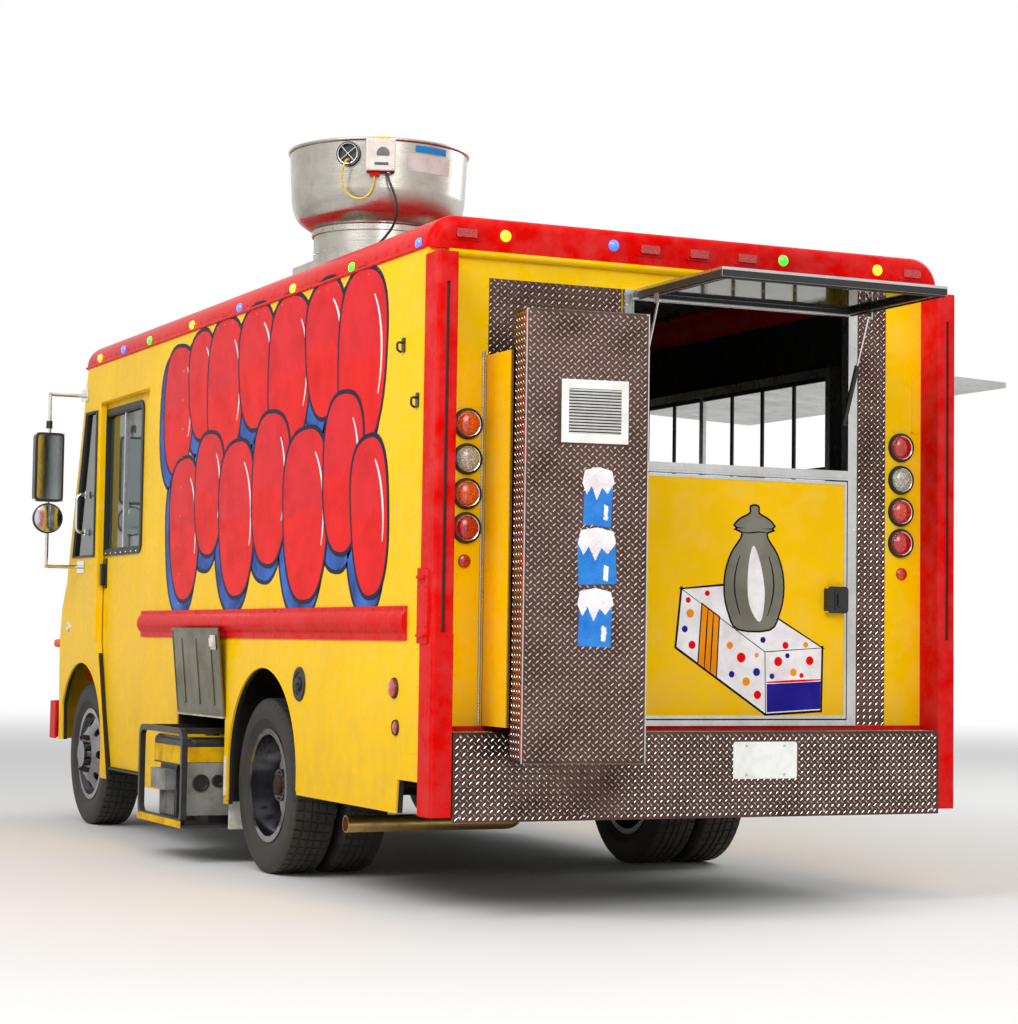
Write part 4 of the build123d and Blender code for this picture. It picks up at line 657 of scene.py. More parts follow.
DOOR_FACE_X = 1.18
DOOR_WINDOW = (-2.86, -2.12, 1.565, 2.365)
QUARTER_WINDOW = ((-2.95, 1.55), (-2.95, 2.385), (-3.165, 2.385), (-3.395, 1.55))
for side, sign in (("left", 1), ("right", -1)):
    body = "cab_door_" + side
    door_face = face_at((sign * DOOR_FACE_X, 0, 0), (0, 1, 0), (0, 0, 1), (sign, 0, 0))
    wall = left_wall if sign > 0 else right_wall
    trim = bmesh.new()
    gasket(trim, rounded_box(*DOOR_WINDOW, 0.04), door_face, -0.012, 0.022, -0.001, 0.009)
    gasket(trim, rounded_box(*DOOR_WINDOW, 0.04), door_face, -0.02, -0.01, -0.018, 0.004)
    piece("door_window_rubber_" + side, trim, body, "plastic_black", rubber_black)
    frame_bars = bmesh.new()
    middle = (DOOR_WINDOW[0] + DOOR_WINDOW[1]) / 2
    block(frame_bars, (middle - 0.012, DOOR_WINDOW[2] + 0.01, -0.016),
          (middle + 0.012, DOOR_WINDOW[3] - 0.01, -0.002), door_face)
    for step in range(7):
        rivet(frame_bars, DOOR_WINDOW[0] + 0.06 + step * 0.103, DOOR_WINDOW[2] - 0.008,
              shifted(door_face, 0, 0, 0.009), 0.005, 0.003)
    piece("door_window_bars_" + side, frame_bars, body, "bright_metal", bright_metal)
    latch = bmesh.new()
    plate(latch, rounded_box(-2.842, -2.782, 1.36, 1.53, 0.012), 0, 0.01, door_face)
    plate(latch, rounded_box(-2.834, -2.802, 1.375, 1.5, 0.01), 0.01, 0.03, door_face)
    piece("door_latch_" + side, latch, body, "plastic_black", plastic_black, bevel=0.003)
    gate = bmesh.new()
    gasket(gate, [QUARTER_WINDOW[i] for i in range(4)], wall, -0.004, 0.02, -0.001, 0.008)
    gasket(gate, [QUARTER_WINDOW[i] for i in range(4)], wall, -0.018, -0.002, -0.014, 0.004)
    piece("quarter_window_rubber_" + side, gate, "body", "plastic_black", rubber_black, bevel=0.003)
    grab = bmesh.new()
    rail_path = [(sign * WALL_X, -3.15, 1.69), (sign * (WALL_X + 0.055), -3.15, 1.69),
                 (sign * (WALL_X + 0.055), -3.15, 1.91), (sign * WALL_X, -3.15, 1.91)]
    along_path(grab, bent(rail_path, 0.035), 0.01, 12)
    for up in (1.69, 1.91):
        rod(grab, (sign * (WALL_X - 0.001), -3.15, up), (sign * (WALL_X + 0.006), -3.15, up), 0.022, 20)
    piece("grab_handle_" + side, grab, "body", "chrome", chrome)
    edges = bmesh.new()
    gutter = [(-2.85 - 0.01, 1.06), (-2.85 - 0.01, 2.43), (-1.89, 2.43)]
    along_path(edges, bent([(sign * (WALL_X + 0.004), y, z) for y, z in gutter], 0.05), 0.007, 8)
    piece("doorway_gutter_" + side, edges, "body", "body_yellow", wall_paint)
    step_edge = bmesh.new()
    block(step_edge, (-2.598, 0.343, -0.062), (-1.922, 0.352, -0.014), wall)
    for step in range(33):
        block(step_edge, (-2.592 + step * 0.0205, 0.351, -0.06), (-2.584 + step * 0.0205, 0.357, -0.016), wall)
    piece("step_tread_" + side, step_edge, "body", "plastic_black", rubber_black)


# Nose and front bumper: pressed steel painted yellow, with a barred grille, round headlamps in chrome
# rings, amber turn lamps, wipers, and a red channel bumper.
def soften(name, width, segments=2):
    """Round the sharp edges of a CAD node."""
    weld = nodes[name].modifiers.new("weld", "WELD")
    weld.merge_threshold = 0.00002
    bevel = nodes[name].modifiers.new("soft_edges", "BEVEL")
    bevel.width = width
    bevel.segments = segments
    bevel.limit_method = "ANGLE"
    bevel.angle_limit = radians(40)


def turned(shape, profile, face, sides=48, closed=False):
    """Turn a profile of (radius, height) points about a face's z axis."""
    rings = []
    for radius, height in profile:
        if radius == 0:
            rings.append([shape.verts.new(face @ Vector((0, 0, height)))])
        else:
            rings.append([shape.verts.new(face @ Vector((radius * cos(2 * pi * i / sides),
                                                         radius * sin(2 * pi * i / sides), height)))
                          for i in range(sides)])
    pairs = list(zip(rings, rings[1:])) + ([(rings[-1], rings[0])] if closed else [])
    for first, second in pairs:
        for i in range(sides):
            corners = [first[i - 1], first[i], second[i], second[i - 1]] if len(first) > 1 and len(second) > 1 else (
                [first[0], second[i], second[i - 1]] if len(first) == 1 else [first[i - 1], first[i], second[0]])
            shape.faces.new(corners)


dress(wall_paint, "nose")
dress(red_paint, "front_bumper")
soften("front_bumper", 0.004)


lens_beads, given, gives = shader_group(
    "lens_beads", (("Tone", "Color", rgb(226, 26, 14)), ("Deep", "Color", rgb(150, 8, 6))),
    (("Colour", "Color"), ("Roughness", "Float"), ("Height", "Float")))
place = node(lens_beads, "TexCoord").outputs["Object"]
beads = node(lens_beads, "TexVoronoi", {"Vector": place, "Scale": 130}).outputs["Distance"]
shade = between(lens_beads, beads, 0.1, 0.6)
lens_beads.links.new(mix_colour(lens_beads, shade, given["Tone"], given["Deep"]), gives["Colour"])
lens_beads.links.new(between(lens_beads, shade, 0, 1, 0.14, 0.26), gives["Roughness"])
lens_beads.links.new(beads, gives["Height"])


def lens_finish(name, tone, deep, glow=0.0):
    """Coloured lamp lens with a fine moulded pattern inside."""
    material = new_material(name)
    tree = material.node_tree
    moulded = node(tree, "Group", {"Tone": tone, "Deep": deep}, node_tree=lens_beads).outputs
    relief = node(tree, "Bump", {"Height": moulded["Height"], "Strength": 0.5, "Distance": 0.0015})
    shader = node(tree, "BsdfPrincipled", {"Base Color": moulded["Colour"], "Roughness": moulded["Roughness"],
                                           "Normal": relief.outputs["Normal"], "Coat Weight": 1.0,
                                           "Coat Roughness": 0.05, "Emission Color": moulded["Colour"],
                                           "Emission Strength": glow})
    node(tree, "OutputMaterial", {"Surface": shader.outputs[0]})
    return material


lens_red = lens_finish("lens_red", rgb(226, 26, 14), rgb(150, 8, 6), 0.15)
lens_amber = lens_finish("lens_amber", rgb(240, 110, 20), rgb(190, 56, 10), 0.12)
lens_orange_red = lens_finish("lens_orange_red", rgb(226, 70, 30), rgb(170, 26, 12), 0.12)
lens_clear = lens_finish("lens_clear", rgb(226, 222, 206), rgb(150, 146, 130), 0.05)
dress(lens_clear, "headlamps")
NOSE_FACE_Y = -3.775
nose_face = face_at((0, NOSE_FACE_Y, 0), (1, 0, 0), (0, 0, 1), (0, -1, 0))
HEADLAMP = (0.78, 0.85, 0.105)
nose_trim = bmesh.new()
for sign in (1, -1):
    centre = shifted(nose_face, sign * HEADLAMP[0], HEADLAMP[1])
    turned(nose_trim, [(HEADLAMP[2] - 0.008, -0.03), (HEADLAMP[2] - 0.004, 0.024), (HEADLAMP[2] + 0.012, 0.034),
                       (HEADLAMP[2] + 0.03, 0.016), (HEADLAMP[2] + 0.034, -0.02)], centre, 48, True)
for up in (0.665, 0.995):
    block(nose_trim, (-0.575, up - 0.01, -0.024), (0.575, up + 0.01, 0.014), nose_face)
for across in (-0.565, 0.565):
    block(nose_trim, (across - 0.01, 0.665, -0.024), (across + 0.01, 0.995, 0.014), nose_face)
piece("grille_and_lamp_rings", nose_trim, "body", "chrome", chrome, bevel=0.003)
turn_lamps = bmesh.new()
for sign in (1, -1):
    for across, up, radius in ((1.000, 0.85, 0.04), (1.000, 1.13, 0.03)):
        centre = shifted(nose_face, sign * across, up)
        turned(turn_lamps, [(0, 0.024), (radius * 0.6, 0.021), (radius * 0.9, 0.012), (radius, -0.055), (0, -0.055)],
               centre, 32)
    corner = Vector((sign * 1.195, -3.728, 1.041))
    away = Vector((sign * cos(radians(35)), -sin(radians(35)), 0))
    rod(turn_lamps, corner - away * 0.006, corner + away * 0.034, 0.03, 24, 0.022)
piece("turn_lamps", turn_lamps, "body", "lamp_clear", lens_amber)
screen_up = Vector((0, 0.37, 1.25)).normalized()
screen = face_at((0, -3.64, 1.4), (1, 0, 0), screen_up, (0, -screen_up.z, screen_up.y))
rubbers = bmesh.new()
for across in (-0.555, 0.555):
    gasket(rubbers, rounded_box(across - 0.505, across + 0.505, 0.08, 1.04, 0.06), screen,
           -0.014, 0.018, -0.012, 0.008)
# Wiper arm and wiper blade: across, up and out of the screen
WIPER = (((0.3, 0.045, 0.026), (0.42, 0.3, 0.024), (0.5, 0.44, 0.014)), ((0.4, 0.17, 0.01), (0.6, 0.72, 0.01)))
for sign in (1, -1):
    rod(rubbers, screen @ Vector((sign * 0.3, 0.045, -0.01)), screen @ Vector((sign * 0.3, 0.045, 0.03)), 0.018, 16)
    for line in WIPER:
        along_path(rubbers, [screen @ Vector((sign * x, y, z)) for x, y, z in line], 0.006, 8)
piece("windscreen_rubbers_and_wipers", rubbers, "body", "plastic_black", rubber_black)
hood = bmesh.new()
hood_path = [(-0.7, 0.64), (-0.7, 1.33), (0.7, 1.33), (0.7, 0.64)]
for (x0, z0), (x1, z1) in zip(hood_path, hood_path[1:]):
    steps = 12
    last = None
    for step in range(steps + 1):
        x, z = x0 + (x1 - x0) * step / steps, z0 + (z1 - z0) * step / steps
        y = NOSE_FACE_Y + (0.035 * (1.06 - z) / 0.59 if z < 1.06 else 0.045 * (z - 1.06) / 0.2 if z < 1.26
                           else 0.045 + 0.09 * (z - 1.26) / 0.14)
        here = (x, y - 0.002, z)
        if last:
            rod(hood, last, here, 0.005, 6)
        last = here
piece("hood_seam", hood, "body", "body_yellow", wall_paint)
for side, sign in (("left", 1), ("right", -1)):
    fixings = bmesh.new()
    wall = left_wall if sign > 0 else right_wall
    turned(fixings, [(0, 0.004), (0.014, 0.004), (0.02, 0.012), (0.027, 0.01), (0.03, -0.001), (0, -0.001)],
           shifted(wall, -3.467, 1.138), 32)
    piece("nose_vent_ring_" + side, fixings, "body", "chrome", chrome)


# Roof: a red cap of riveted sheet that rolls over the walls, with a yellow drip ledge below its rear edge,
# red gutters along its sides, and small coloured lamps along the band.
dress(red_paint, "roof")
# Faces that look back and up: across, up, out
BACKWARD, UPWARD = ((1, 0, 0), (0, 0, 1), (0, 1, 0)), ((1, 0, 0), (0, 1, 0), (0, 0, 1))
REAR_EDGE_Y = 1.961
roof_trim = bmesh.new()
along_path(roof_trim, [(x, 1.944, 2.64) for x in (-1.13, 0, 1.13)], 0.019, 14)
piece("rear_drip_ledge", roof_trim, "body", "body_yellow", wall_paint)
gutters = bmesh.new()
for sign in (1, -1):
    along_path(gutters, [(sign * (WALL_X + 0.002), y, 2.657) for y in (1.93, 0, -3.2)], 0.008, 8)
piece("roof_gutters", gutters, "body", "roof_red", red_paint)
cap_rivets = bmesh.new()
cap_rear = face_at((0, REAR_EDGE_Y, 0), *BACKWARD)
for step in range(38):
    rivet(cap_rivets, -1.11 + step * 0.06, 2.668, cap_rear, 0.005, 0.003)
for side_face in (left_wall, right_wall):
    for step in range(42):
        rivet(cap_rivets, 1.86 - step * 0.12, 2.681, shifted(side_face, 0, 0, -0.001), 0.005, 0.003)
piece("roof_rivets", cap_rivets, "body", "roof_red", red_paint, smooth=60)


def glow_lens(name, tone, strength):
    """A small lit lamp."""
    material = new_material(name)
    shader = node(material.node_tree, "BsdfPrincipled", {"Base Color": tone, "Roughness": 0.15, "Coat Weight": 1.0,
                                                         "Emission Color": tone, "Emission Strength": strength})
    node(material.node_tree, "OutputMaterial", {"Surface": shader.outputs[0]})
    return material


DOT_TONES = (glow_lens("dot_yellow", rgb(255, 214, 10), 2.2), glow_lens("dot_blue", rgb(60, 100, 245), 1.8),
             glow_lens("dot_green", rgb(60, 230, 40), 1.8))
# Coloured lamps on the rear edge: distance across, height, tone. On the walls: distance along, height, tone.
REAR_DOTS = ((0.886, 2.718, 0), (0.396, 2.72, 1), (-0.415, 2.722, 2), (-0.89, 2.718, 0))
SIDE_DOTS = ((1.846, 2.676, 1), (1.103, 2.678, 2), (0.36, 2.68, 0), (-0.4, 2.682, 1), (-1.16, 2.684, 0),
             (-1.919, 2.686, 2), (-2.427, 2.688, 1), (-2.92, 2.69, 0))
for tone, tone_name in enumerate(("yellow", "blue", "green")):
    dots = bmesh.new()
    for faces, table in (((cap_rear,), REAR_DOTS), ((left_wall, right_wall), SIDE_DOTS)):
        for face in faces:
            for across, up, kind in table:
                if kind == tone:
                    turned(dots, [(0, 0.016), (0.014, 0.013), (0.022, 0.006), (0.025, -0.004), (0, -0.004)],
                           shifted(face, across, up), 20)
    piece("band_lamps_" + tone_name, dots, "body", "lamp_clear", DOT_TONES[tone])


# Rear wall: yellow sheet with bright tread plate screwed on above the locker and beside the door. The
# plate is thin pressed aluminium, with raised bars in light metal over a base in dark brownish metal.
tread_base = worn_metal("tread_base", rgb(98, 76, 70), rgb(54, 38, 34), 0.8, 0.28)
tread_bar = worn_metal("tread_bar", rgb(206, 194, 184), rgb(150, 134, 122), 0.45, 0.15)
BAR_LENGTH, BAR_WIDTH, BAR_HEIGHT, BAR_PITCH = 0.024, 0.0066, 0.0015, (0.015, 0.0138)
BAR_SHAPE = ((-0.5, 0, -0.2), (0, -0.5, -0.2), (0.5, 0, -0.2), (0, 0.5, -0.2), (-0.28, 0, 1), (0.28, 0, 1))
BAR_FACES = ((0, 1, 4), (1, 5, 4), (1, 2, 5), (2, 3, 5), (3, 4, 5), (3, 0, 4))


def inside(x, y, outline):
    """Whether a point lies within an outline."""
    crossings = 0
    for (x0, y0), (x1, y1) in zip(outline, outline[1:] + outline[:1]):
        if (y0 > y) != (y1 > y) and x < x0 + (y - y0) * (x1 - x0) / (y1 - y0):
            crossings += 1
    return crossings % 2 == 1


def tread(name, body, patches, coats=(), gaps=()):
    """Raised bars over patches of a face (face, low x, high x, low y, high y). Coats are painted outlines
    (outline, material number) and gaps are rectangles left plain, both on the first patch."""
    verts, faces, numbers = [], [], []
    for patch, (face, x0, x1, y0, y1) in enumerate(patches):
        flip = face.determinant() < 0
        columns = max(1, int((x1 - x0) / BAR_PITCH[0]))
        rows = max(1, int((y1 - y0) / BAR_PITCH[1]))
        for row in range(rows):
            for column in range(columns):
                x = x0 + (column + 0.5) * (x1 - x0) / columns
                y = y0 + (row + 0.5) * (y1 - y0) / rows
                if (row + column) % 2 or patch == 0 and any(a < x < b and c < y < d for a, b, c, d in gaps):
                    continue
                number = 0
                if patch == 0:
                    for outline, coat in coats:
                        if inside(x, y, outline):
                            number = coat
                turn = radians(45 if row % 2 else -45)
                first = len(verts)
                for along, across, up in BAR_SHAPE:
                    along, across = along * BAR_LENGTH, across * BAR_WIDTH
                    verts.append(face @ Vector((x + along * cos(turn) - across * sin(turn),
                                                y + along * sin(turn) + across * cos(turn),
                                                up * BAR_HEIGHT)))
                for corners in BAR_FACES:
                    faces.append([first + k for k in (corners[::-1] if flip else corners)])
                    numbers.append(number)
    mesh = bpy.data.meshes.new(name)
    mesh.from_pydata(verts, [], faces)
    mesh.materials.append(tread_bar)
    for material in LOCKER_COATS if coats else ():
        mesh.materials.append(material)
    mesh.polygons.foreach_set("material_index", numbers)
    made = bpy.data.objects.new(name, mesh)
    scene.collection.objects.link(made)
    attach(made, body)
    return made


def rectangle(x0, x1, y0, y1, inset=0.0):
    """Outline of a rectangle, counter-clockwise."""
    return [(x0 + inset, y0 + inset), (x1 - inset, y0 + inset), (x1 - inset, y1 - inset), (x0 + inset, y1 - inset)]


REAR_WALL_Y = 1.936
rear_face = face_at((0, REAR_WALL_Y, 0), *BACKWARD)
# Tread sheets: low x, high x, foot, head
TREAD_SHEETS = ((0.345, 0.9445, 2.238, 2.546), (0.345, 0.4385, 0.756, 2.236), (-0.95, -0.794, 0.753, 2.627))
SHEET_T = 0.002
sheets = bmesh.new()
for sheet in TREAD_SHEETS:
    plate(sheets, rectangle(*sheet), -0.0005, SHEET_T, rear_face)
piece("tread_sheets", sheets, "body", "tread_plate", tread_base, smooth=0)
sheet_face = shifted(rear_face, 0, 0, SHEET_T)
tread("tread_sheet_bars", "body", [(sheet_face, *sheet) for sheet in TREAD_SHEETS])
wall_fixings = bmesh.new()
for column in (0.952, 1.066, -0.962, -1.12):
    for step in range(24):
        rivet(wall_fixings, column, 0.8 + step * 0.078, rear_face, 0.004)
for row in (2.577, 2.625):
    for step in range(32):
        rivet(wall_fixings, -1.1 + step * 0.071, row, rear_face, 0.0045)
block(wall_fixings, (-1.09, 2.02, -0.001), (-1.084, 2.25, 0.004), rear_face)
block(wall_fixings, (-1.128, 2.018, -0.001), (-1.084, 2.024, 0.004), rear_face)
piece("rear_wall_rivets", wall_fixings, "body", "body_yellow", wall_paint, smooth=60)
hinge_beads = bmesh.new()
block(hinge_beads, (0.956, 0.75, -0.001), (0.97, 2.25, 0.0012), rear_face)
for step in range(118):
    rod(hinge_beads, (0.9635, REAR_WALL_Y + 0.0012, 0.754 + step * 0.0127),
        (0.9635, REAR_WALL_Y + 0.0012, 0.7635 + step * 0.0127), 0.0034, 6)
piece("hinge_strip", hinge_beads, "body", "bright_metal", bright_metal)


# Door frame and rear door: an extruded aluminium frame round the window and the lower leaf. The leaf is
# yellow panel with a bright edge trim, a black paddle latch and a painted picture of a jar on a crate.
dress(bright_metal, "door_frame")
door_paint = painted("door_paint", rgb(246, 192, 6), rgb(120, 88, 36), 0.35, 1.2, 0.18, 0.8, 0.004,
                     Specular_IOR_Level=0.06, Coat_Weight=0.02, Coat_Roughness=0.08)
dress(door_paint, "rear_door")
LEAF = (-0.7405, 0.2915, 0.78, 1.791)
LEAF_FACE_Y = 1.96
leaf_face = face_at((0, LEAF_FACE_Y, 0), *BACKWARD)
frame_rivets = bmesh.new()
for column in (0.33, -0.779):
    for step in range(16):
        rivet(frame_rivets, column, 0.8 + step * 0.112, leaf_face, 0.0045)
block(frame_rivets, (-0.738, 1.806, -0.002), (0.289, 1.816, 0.004), leaf_face)
piece("door_frame_beads", frame_rivets, "body", "bright_metal", bright_metal, bevel=0.0008)
leaf_trim = bmesh.new()
gasket(leaf_trim, rectangle(*LEAF), leaf_face, -0.018, -0.0005, -0.0008, 0.0022)
piece("door_leaf_trim", leaf_trim, "rear_door", "bright_metal", bright_metal)
paddle = bmesh.new()
plate(paddle, rounded_box(-0.7325, -0.6285, 1.2275, 1.341, 0.016), 0.0005, 0.0315, leaf_face)
piece("door_latch_box", paddle, "rear_door", "plastic_black", plastic_black, bevel=0.006)
paddle = bmesh.new()
plate(paddle, rounded_box(-0.72, -0.664, 1.24, 1.328, 0.012), 0.031, 0.0345, leaf_face)
plate(paddle, rounded_box(-0.712, -0.676, 1.252, 1.316, 0.01), 0.0345, 0.041, leaf_face)
turned(paddle, [(0, 0.0335), (0.006, 0.0335), (0.009, 0.0325), (0.01, 0.031)],
       shifted(leaf_face, -0.646, 1.262), 20)
piece("door_latch_paddle", paddle, "rear_door", "plastic_black", plastic_black, bevel=0.0015)

art_black = flat_paint("art_black", rgb(20, 18, 20), rgb(30, 26, 26), 9, 0.3)
art_grey = flat_paint("art_grey", rgb(132, 128, 116), rgb(112, 108, 96), 5, 0.35, 0.35, 0.65)
art_blue = flat_paint("art_blue", rgb(34, 28, 130), rgb(46, 38, 150), 6, 0.28)
art_orange = flat_paint("art_orange", rgb(246, 150, 20), rgb(236, 132, 14), 6, 0.28)
PICTURE_COATS = (art_black, art_grey, art_white, art_blue, art_red, art_orange)
BLACK, GREY, WHITE, BLUE, RED, ORANGE = range(6)


def grown(outline, by):
    """An outline moved outward by a distance."""
    count = len(outline)
    middle = Vector((sum(x for x, y in outline) / count, sum(y for x, y in outline) / count))
    turning = sum(outline[i - 1][0] * outline[i][1] - outline[i][0] * outline[i - 1][1] for i in range(count))
    moved = []
    for i in range(count):
        before, here, after = (Vector(outline[(i + k) % count]) for k in (-1, 0, 1))
        normals = []
        for start, end in ((before, here), (here, after)):
            way = (end - start).normalized() if (end - start).length > 1e-9 else Vector((1, 0))
            normals.append(Vector((way.y, -way.x)) * (1 if turning > 0 else -1))
        out = (normals[0] + normals[1])
        out = out.normalized() * min(1 / max(out.length / 2, 0.3), 2.0) if out.length > 1e-6 else normals[0]
        moved.append(tuple(here + out * by))
    return moved


def circle(x, y, radius, steps=18):
    """Outline of a disc."""
    return [(x + radius * cos(2 * pi * i / steps), y + radius * sin(2 * pi * i / steps)) for i in range(steps)]


# Crate in slant view: front panel, long side, lid; corners across and up the leaf
CRATE_FRONT = [(-0.615, 0.815), (-0.345, 0.8), (-0.34, 1.06), (-0.62, 1.08)]
CRATE_SIDE = [(-0.345, 0.8), (0.085, 1.075), (0.06, 1.315), (-0.34, 1.06)]
CRATE_LID = [(-0.62, 1.08), (-0.34, 1.06), (0.06, 1.315), (-0.15, 1.335)]
CRATE_BAND = [(-0.613, 0.822), (-0.351, 0.807), (-0.349, 0.925), (-0.615, 0.938)]
CRATE_STRAP = [(-0.105, 0.9535), (-0.02, 1.0078), (-0.037, 1.2532), (-0.117, 1.2022)]
# Spots on the crate: across, up, radius, colour
SPOTS = ((-0.56, 1.025, 0.019, RED), (-0.48, 0.975, 0.016, ORANGE), (-0.405, 1.02, 0.02, RED),
         (-0.52, 0.962, 0.011, RED), (-0.375, 0.958, 0.012, BLUE), (-0.45, 1.045, 0.011, BLUE),
         (-0.305, 0.88, 0.018, RED), (-0.3, 0.975, 0.017, BLUE), (-0.25, 0.935, 0.018, ORANGE),
         (-0.225, 1.035, 0.021, RED), (-0.18, 0.965, 0.014, BLUE), (-0.17, 1.085, 0.015, ORANGE),
         (0.01, 1.085, 0.017, RED), (0.045, 1.15, 0.014, BLUE), (0.02, 1.215, 0.018, ORANGE),
         (-0.3, 1.045, 0.01, ORANGE), (0.03, 1.27, 0.012, RED), (-0.44, 1.088, 0.015, RED),
         (-0.33, 1.11, 0.013, BLUE), (-0.06, 1.3, 0.012, RED), (-0.54, 1.092, 0.012, ORANGE))
# Jar standing on the lid: half width, height
JAR = ((0.075, 1.155), (0.118, 1.215), (0.14, 1.3), (0.136, 1.39), (0.108, 1.47), (0.066, 1.528),
       (0.058, 1.56), (0.082, 1.575))
JAR_X = -0.285
jar = [(JAR_X - half, up) for half, up in JAR] + [(JAR_X + half, up) for half, up in reversed(JAR)]
jar = rounded(jar, 3)
jar_lid = rounded([(JAR_X - 0.084, 1.58), (JAR_X - 0.07, 1.612), (JAR_X - 0.02, 1.638), (JAR_X - 0.016, 1.668),
                   (JAR_X + 0.016, 1.668), (JAR_X + 0.02, 1.638), (JAR_X + 0.07, 1.612), (JAR_X + 0.084, 1.58)], 3)
jar_front = rounded([(JAR_X - 0.03, 1.185), (JAR_X - 0.052, 1.3), (JAR_X - 0.03, 1.43), (JAR_X + 0.006, 1.505),
                     (JAR_X + 0.03, 1.4), (JAR_X + 0.024, 1.26)], 4)
picture = bmesh.new()
LINE_WIDTH, lift = 0.008, 0.0003
for growth, colour in ((LINE_WIDTH, BLACK), (-0.002, WHITE)):
    for outline in (CRATE_LID, CRATE_SIDE, CRATE_FRONT):
        plate(picture, grown(outline, growth), 0, lift, leaf_face, colour)
    lift += COAT_STEP
plate(picture, CRATE_BAND, 0, lift, leaf_face, BLUE)
for x, y, radius, colour in SPOTS:
    plate(picture, circle(x, y, radius), 0, lift, leaf_face, colour)
lift += COAT_STEP
plate(picture, grown(CRATE_STRAP, 0.005), 0, lift, leaf_face, BLACK)
plate(picture, stroke([(-0.615 + 0.266 * k / 6, 0.945 - 0.013 * k / 6) for k in range(7)], 0.01), 0, lift,
      leaf_face, RED)
lift += COAT_STEP
plate(picture, grown(CRATE_STRAP, -0.001), 0, lift, leaf_face, ORANGE)
lift += COAT_STEP
for part in (0.33, 0.66):
    foot = Vector(CRATE_STRAP[0]).lerp(Vector(CRATE_STRAP[1]), part)
    head = Vector(CRATE_STRAP[3]).lerp(Vector(CRATE_STRAP[2]), part)
    plate(picture, stroke([tuple(foot.lerp(head, k / 5)) for k in range(6)], 0.007), 0, lift, leaf_face, BLACK)
for outline in (jar, jar_lid):
    plate(picture, grown(outline, LINE_WIDTH), 0, lift, leaf_face, BLACK)
    plate(picture, outline, 0, lift + COAT_STEP, leaf_face, GREY)
plate(picture, jar_front, 0, lift + 2 * COAT_STEP, leaf_face, WHITE)
for side_step in (-1, 1):
    plate(picture, stroke([(JAR_X + side_step * (0.066 + 0.03 * sin(0.5 * k)), 1.21 + 0.042 * k)
                           for k in range(7)], 0.007), 0, lift + 2 * COAT_STEP, leaf_face, BLACK)
plate(picture, stroke([(JAR_X - 0.06 + 0.02 * k, 1.56 + 0.003 * sin(k)) for k in range(7)], 0.006), 0,
      lift + 2 * COAT_STEP, leaf_face, BLACK)
piece("door_picture", picture, "rear_door", "door_yellow", *PICTURE_COATS, smooth=0)


# Rear window hatch: smoked glass in a bright aluminium frame, hung at its head and held open by two black
# gas struts with bright rods. A folded bracket takes the latch in the middle of its free edge.
dress(bright_metal, "rear_hatch")
dark_glass = glazing("dark_glass", rgb(92, 98, 102), 0.04)
dress(dark_glass, "hatch_glass")
dress(chrome, "hatch_strut_rods", "serving_strut_rods")
black_paint = painted("black_paint", rgb(26, 26, 28), rgb(90, 78, 60), 0.4, 0.8, 0.38, 0.2)
dress(black_paint, "hatch_strut_tubes", "serving_strut_tubes")
HATCH = (-0.7545, 0.2935, 1.9733, 2.6773)
HATCH_Z = (2.508, 2.546)
hatch_under = face_at((0, 0, HATCH_Z[0]), (1, 0, 0), (0, 1, 0), (0, 0, -1))
hatch_over = face_at((0, 0, HATCH_Z[1]), *UPWARD)
rubbers = bmesh.new()
for face in (hatch_under, hatch_over):
    gasket(rubbers, rectangle(*HATCH, 0.042), face, -0.01, 0.004, -0.014, 0.0015)
for x0, x1, y0, y1 in ((HATCH[0] + 0.006, HATCH[0] + 0.016, HATCH[2] + 0.01, HATCH[3] - 0.012),
                       (HATCH[1] - 0.016, HATCH[1] - 0.006, HATCH[2] + 0.01, HATCH[3] - 0.012),
                       (HATCH[0] + 0.006, HATCH[1] - 0.006, HATCH[3] - 0.022, HATCH[3] - 0.01)):
    block(rubbers, (x0, y0, -0.001), (x1, y1, 0.005), hatch_under)
# Thin black sheets cover the frame's rear and side edges, all but a narrow strip along their top, so these edges look
# black.
HATCH_EDGE_Z, HATCH_EDGE_T = (HATCH_Z[0] + 0.0008, 2.535), 0.0008
block(rubbers, (HATCH[0] + 0.002, HATCH[3] - 0.002, HATCH_EDGE_Z[0]),
      (HATCH[1] - 0.002, HATCH[3] + HATCH_EDGE_T, HATCH_EDGE_Z[1]))
for x in (HATCH[0], HATCH[1]):
    block(rubbers, (x - HATCH_EDGE_T, HATCH[2] + 0.004, HATCH_EDGE_Z[0]),
          (x + HATCH_EDGE_T, HATCH[3] - 0.002, HATCH_EDGE_Z[1]))
piece("hatch_rubbers", rubbers, "rear_hatch", "plastic_black", rubber_black)
latch_plate = bmesh.new()
block(latch_plate, (-0.42, HATCH[3] - 0.06, 0.0), (-0.29, HATCH[3] - 0.024, 0.0012), hatch_under)
block(latch_plate, (-0.385, HATCH[3] - 0.052, 0.0012), (-0.325, HATCH[3] - 0.03, 0.0034), hatch_under)
for x in (-0.406, -0.304):
    rivet(latch_plate, x, HATCH[3] - 0.042, shifted(hatch_under, 0, 0, 0.0012), 0.005, 0.0015)
for x in [HATCH[0] + 0.03 + 0.1412 * step for step in range(8)]:
    rivet(latch_plate, x, HATCH[2] + 0.02, hatch_over, 0.004)
    rivet(latch_plate, x, HATCH[3] - 0.02, hatch_over, 0.004)
piece("hatch_latch_plate", latch_plate, "rear_hatch", "bright_metal", bright_metal, bevel=0.001)


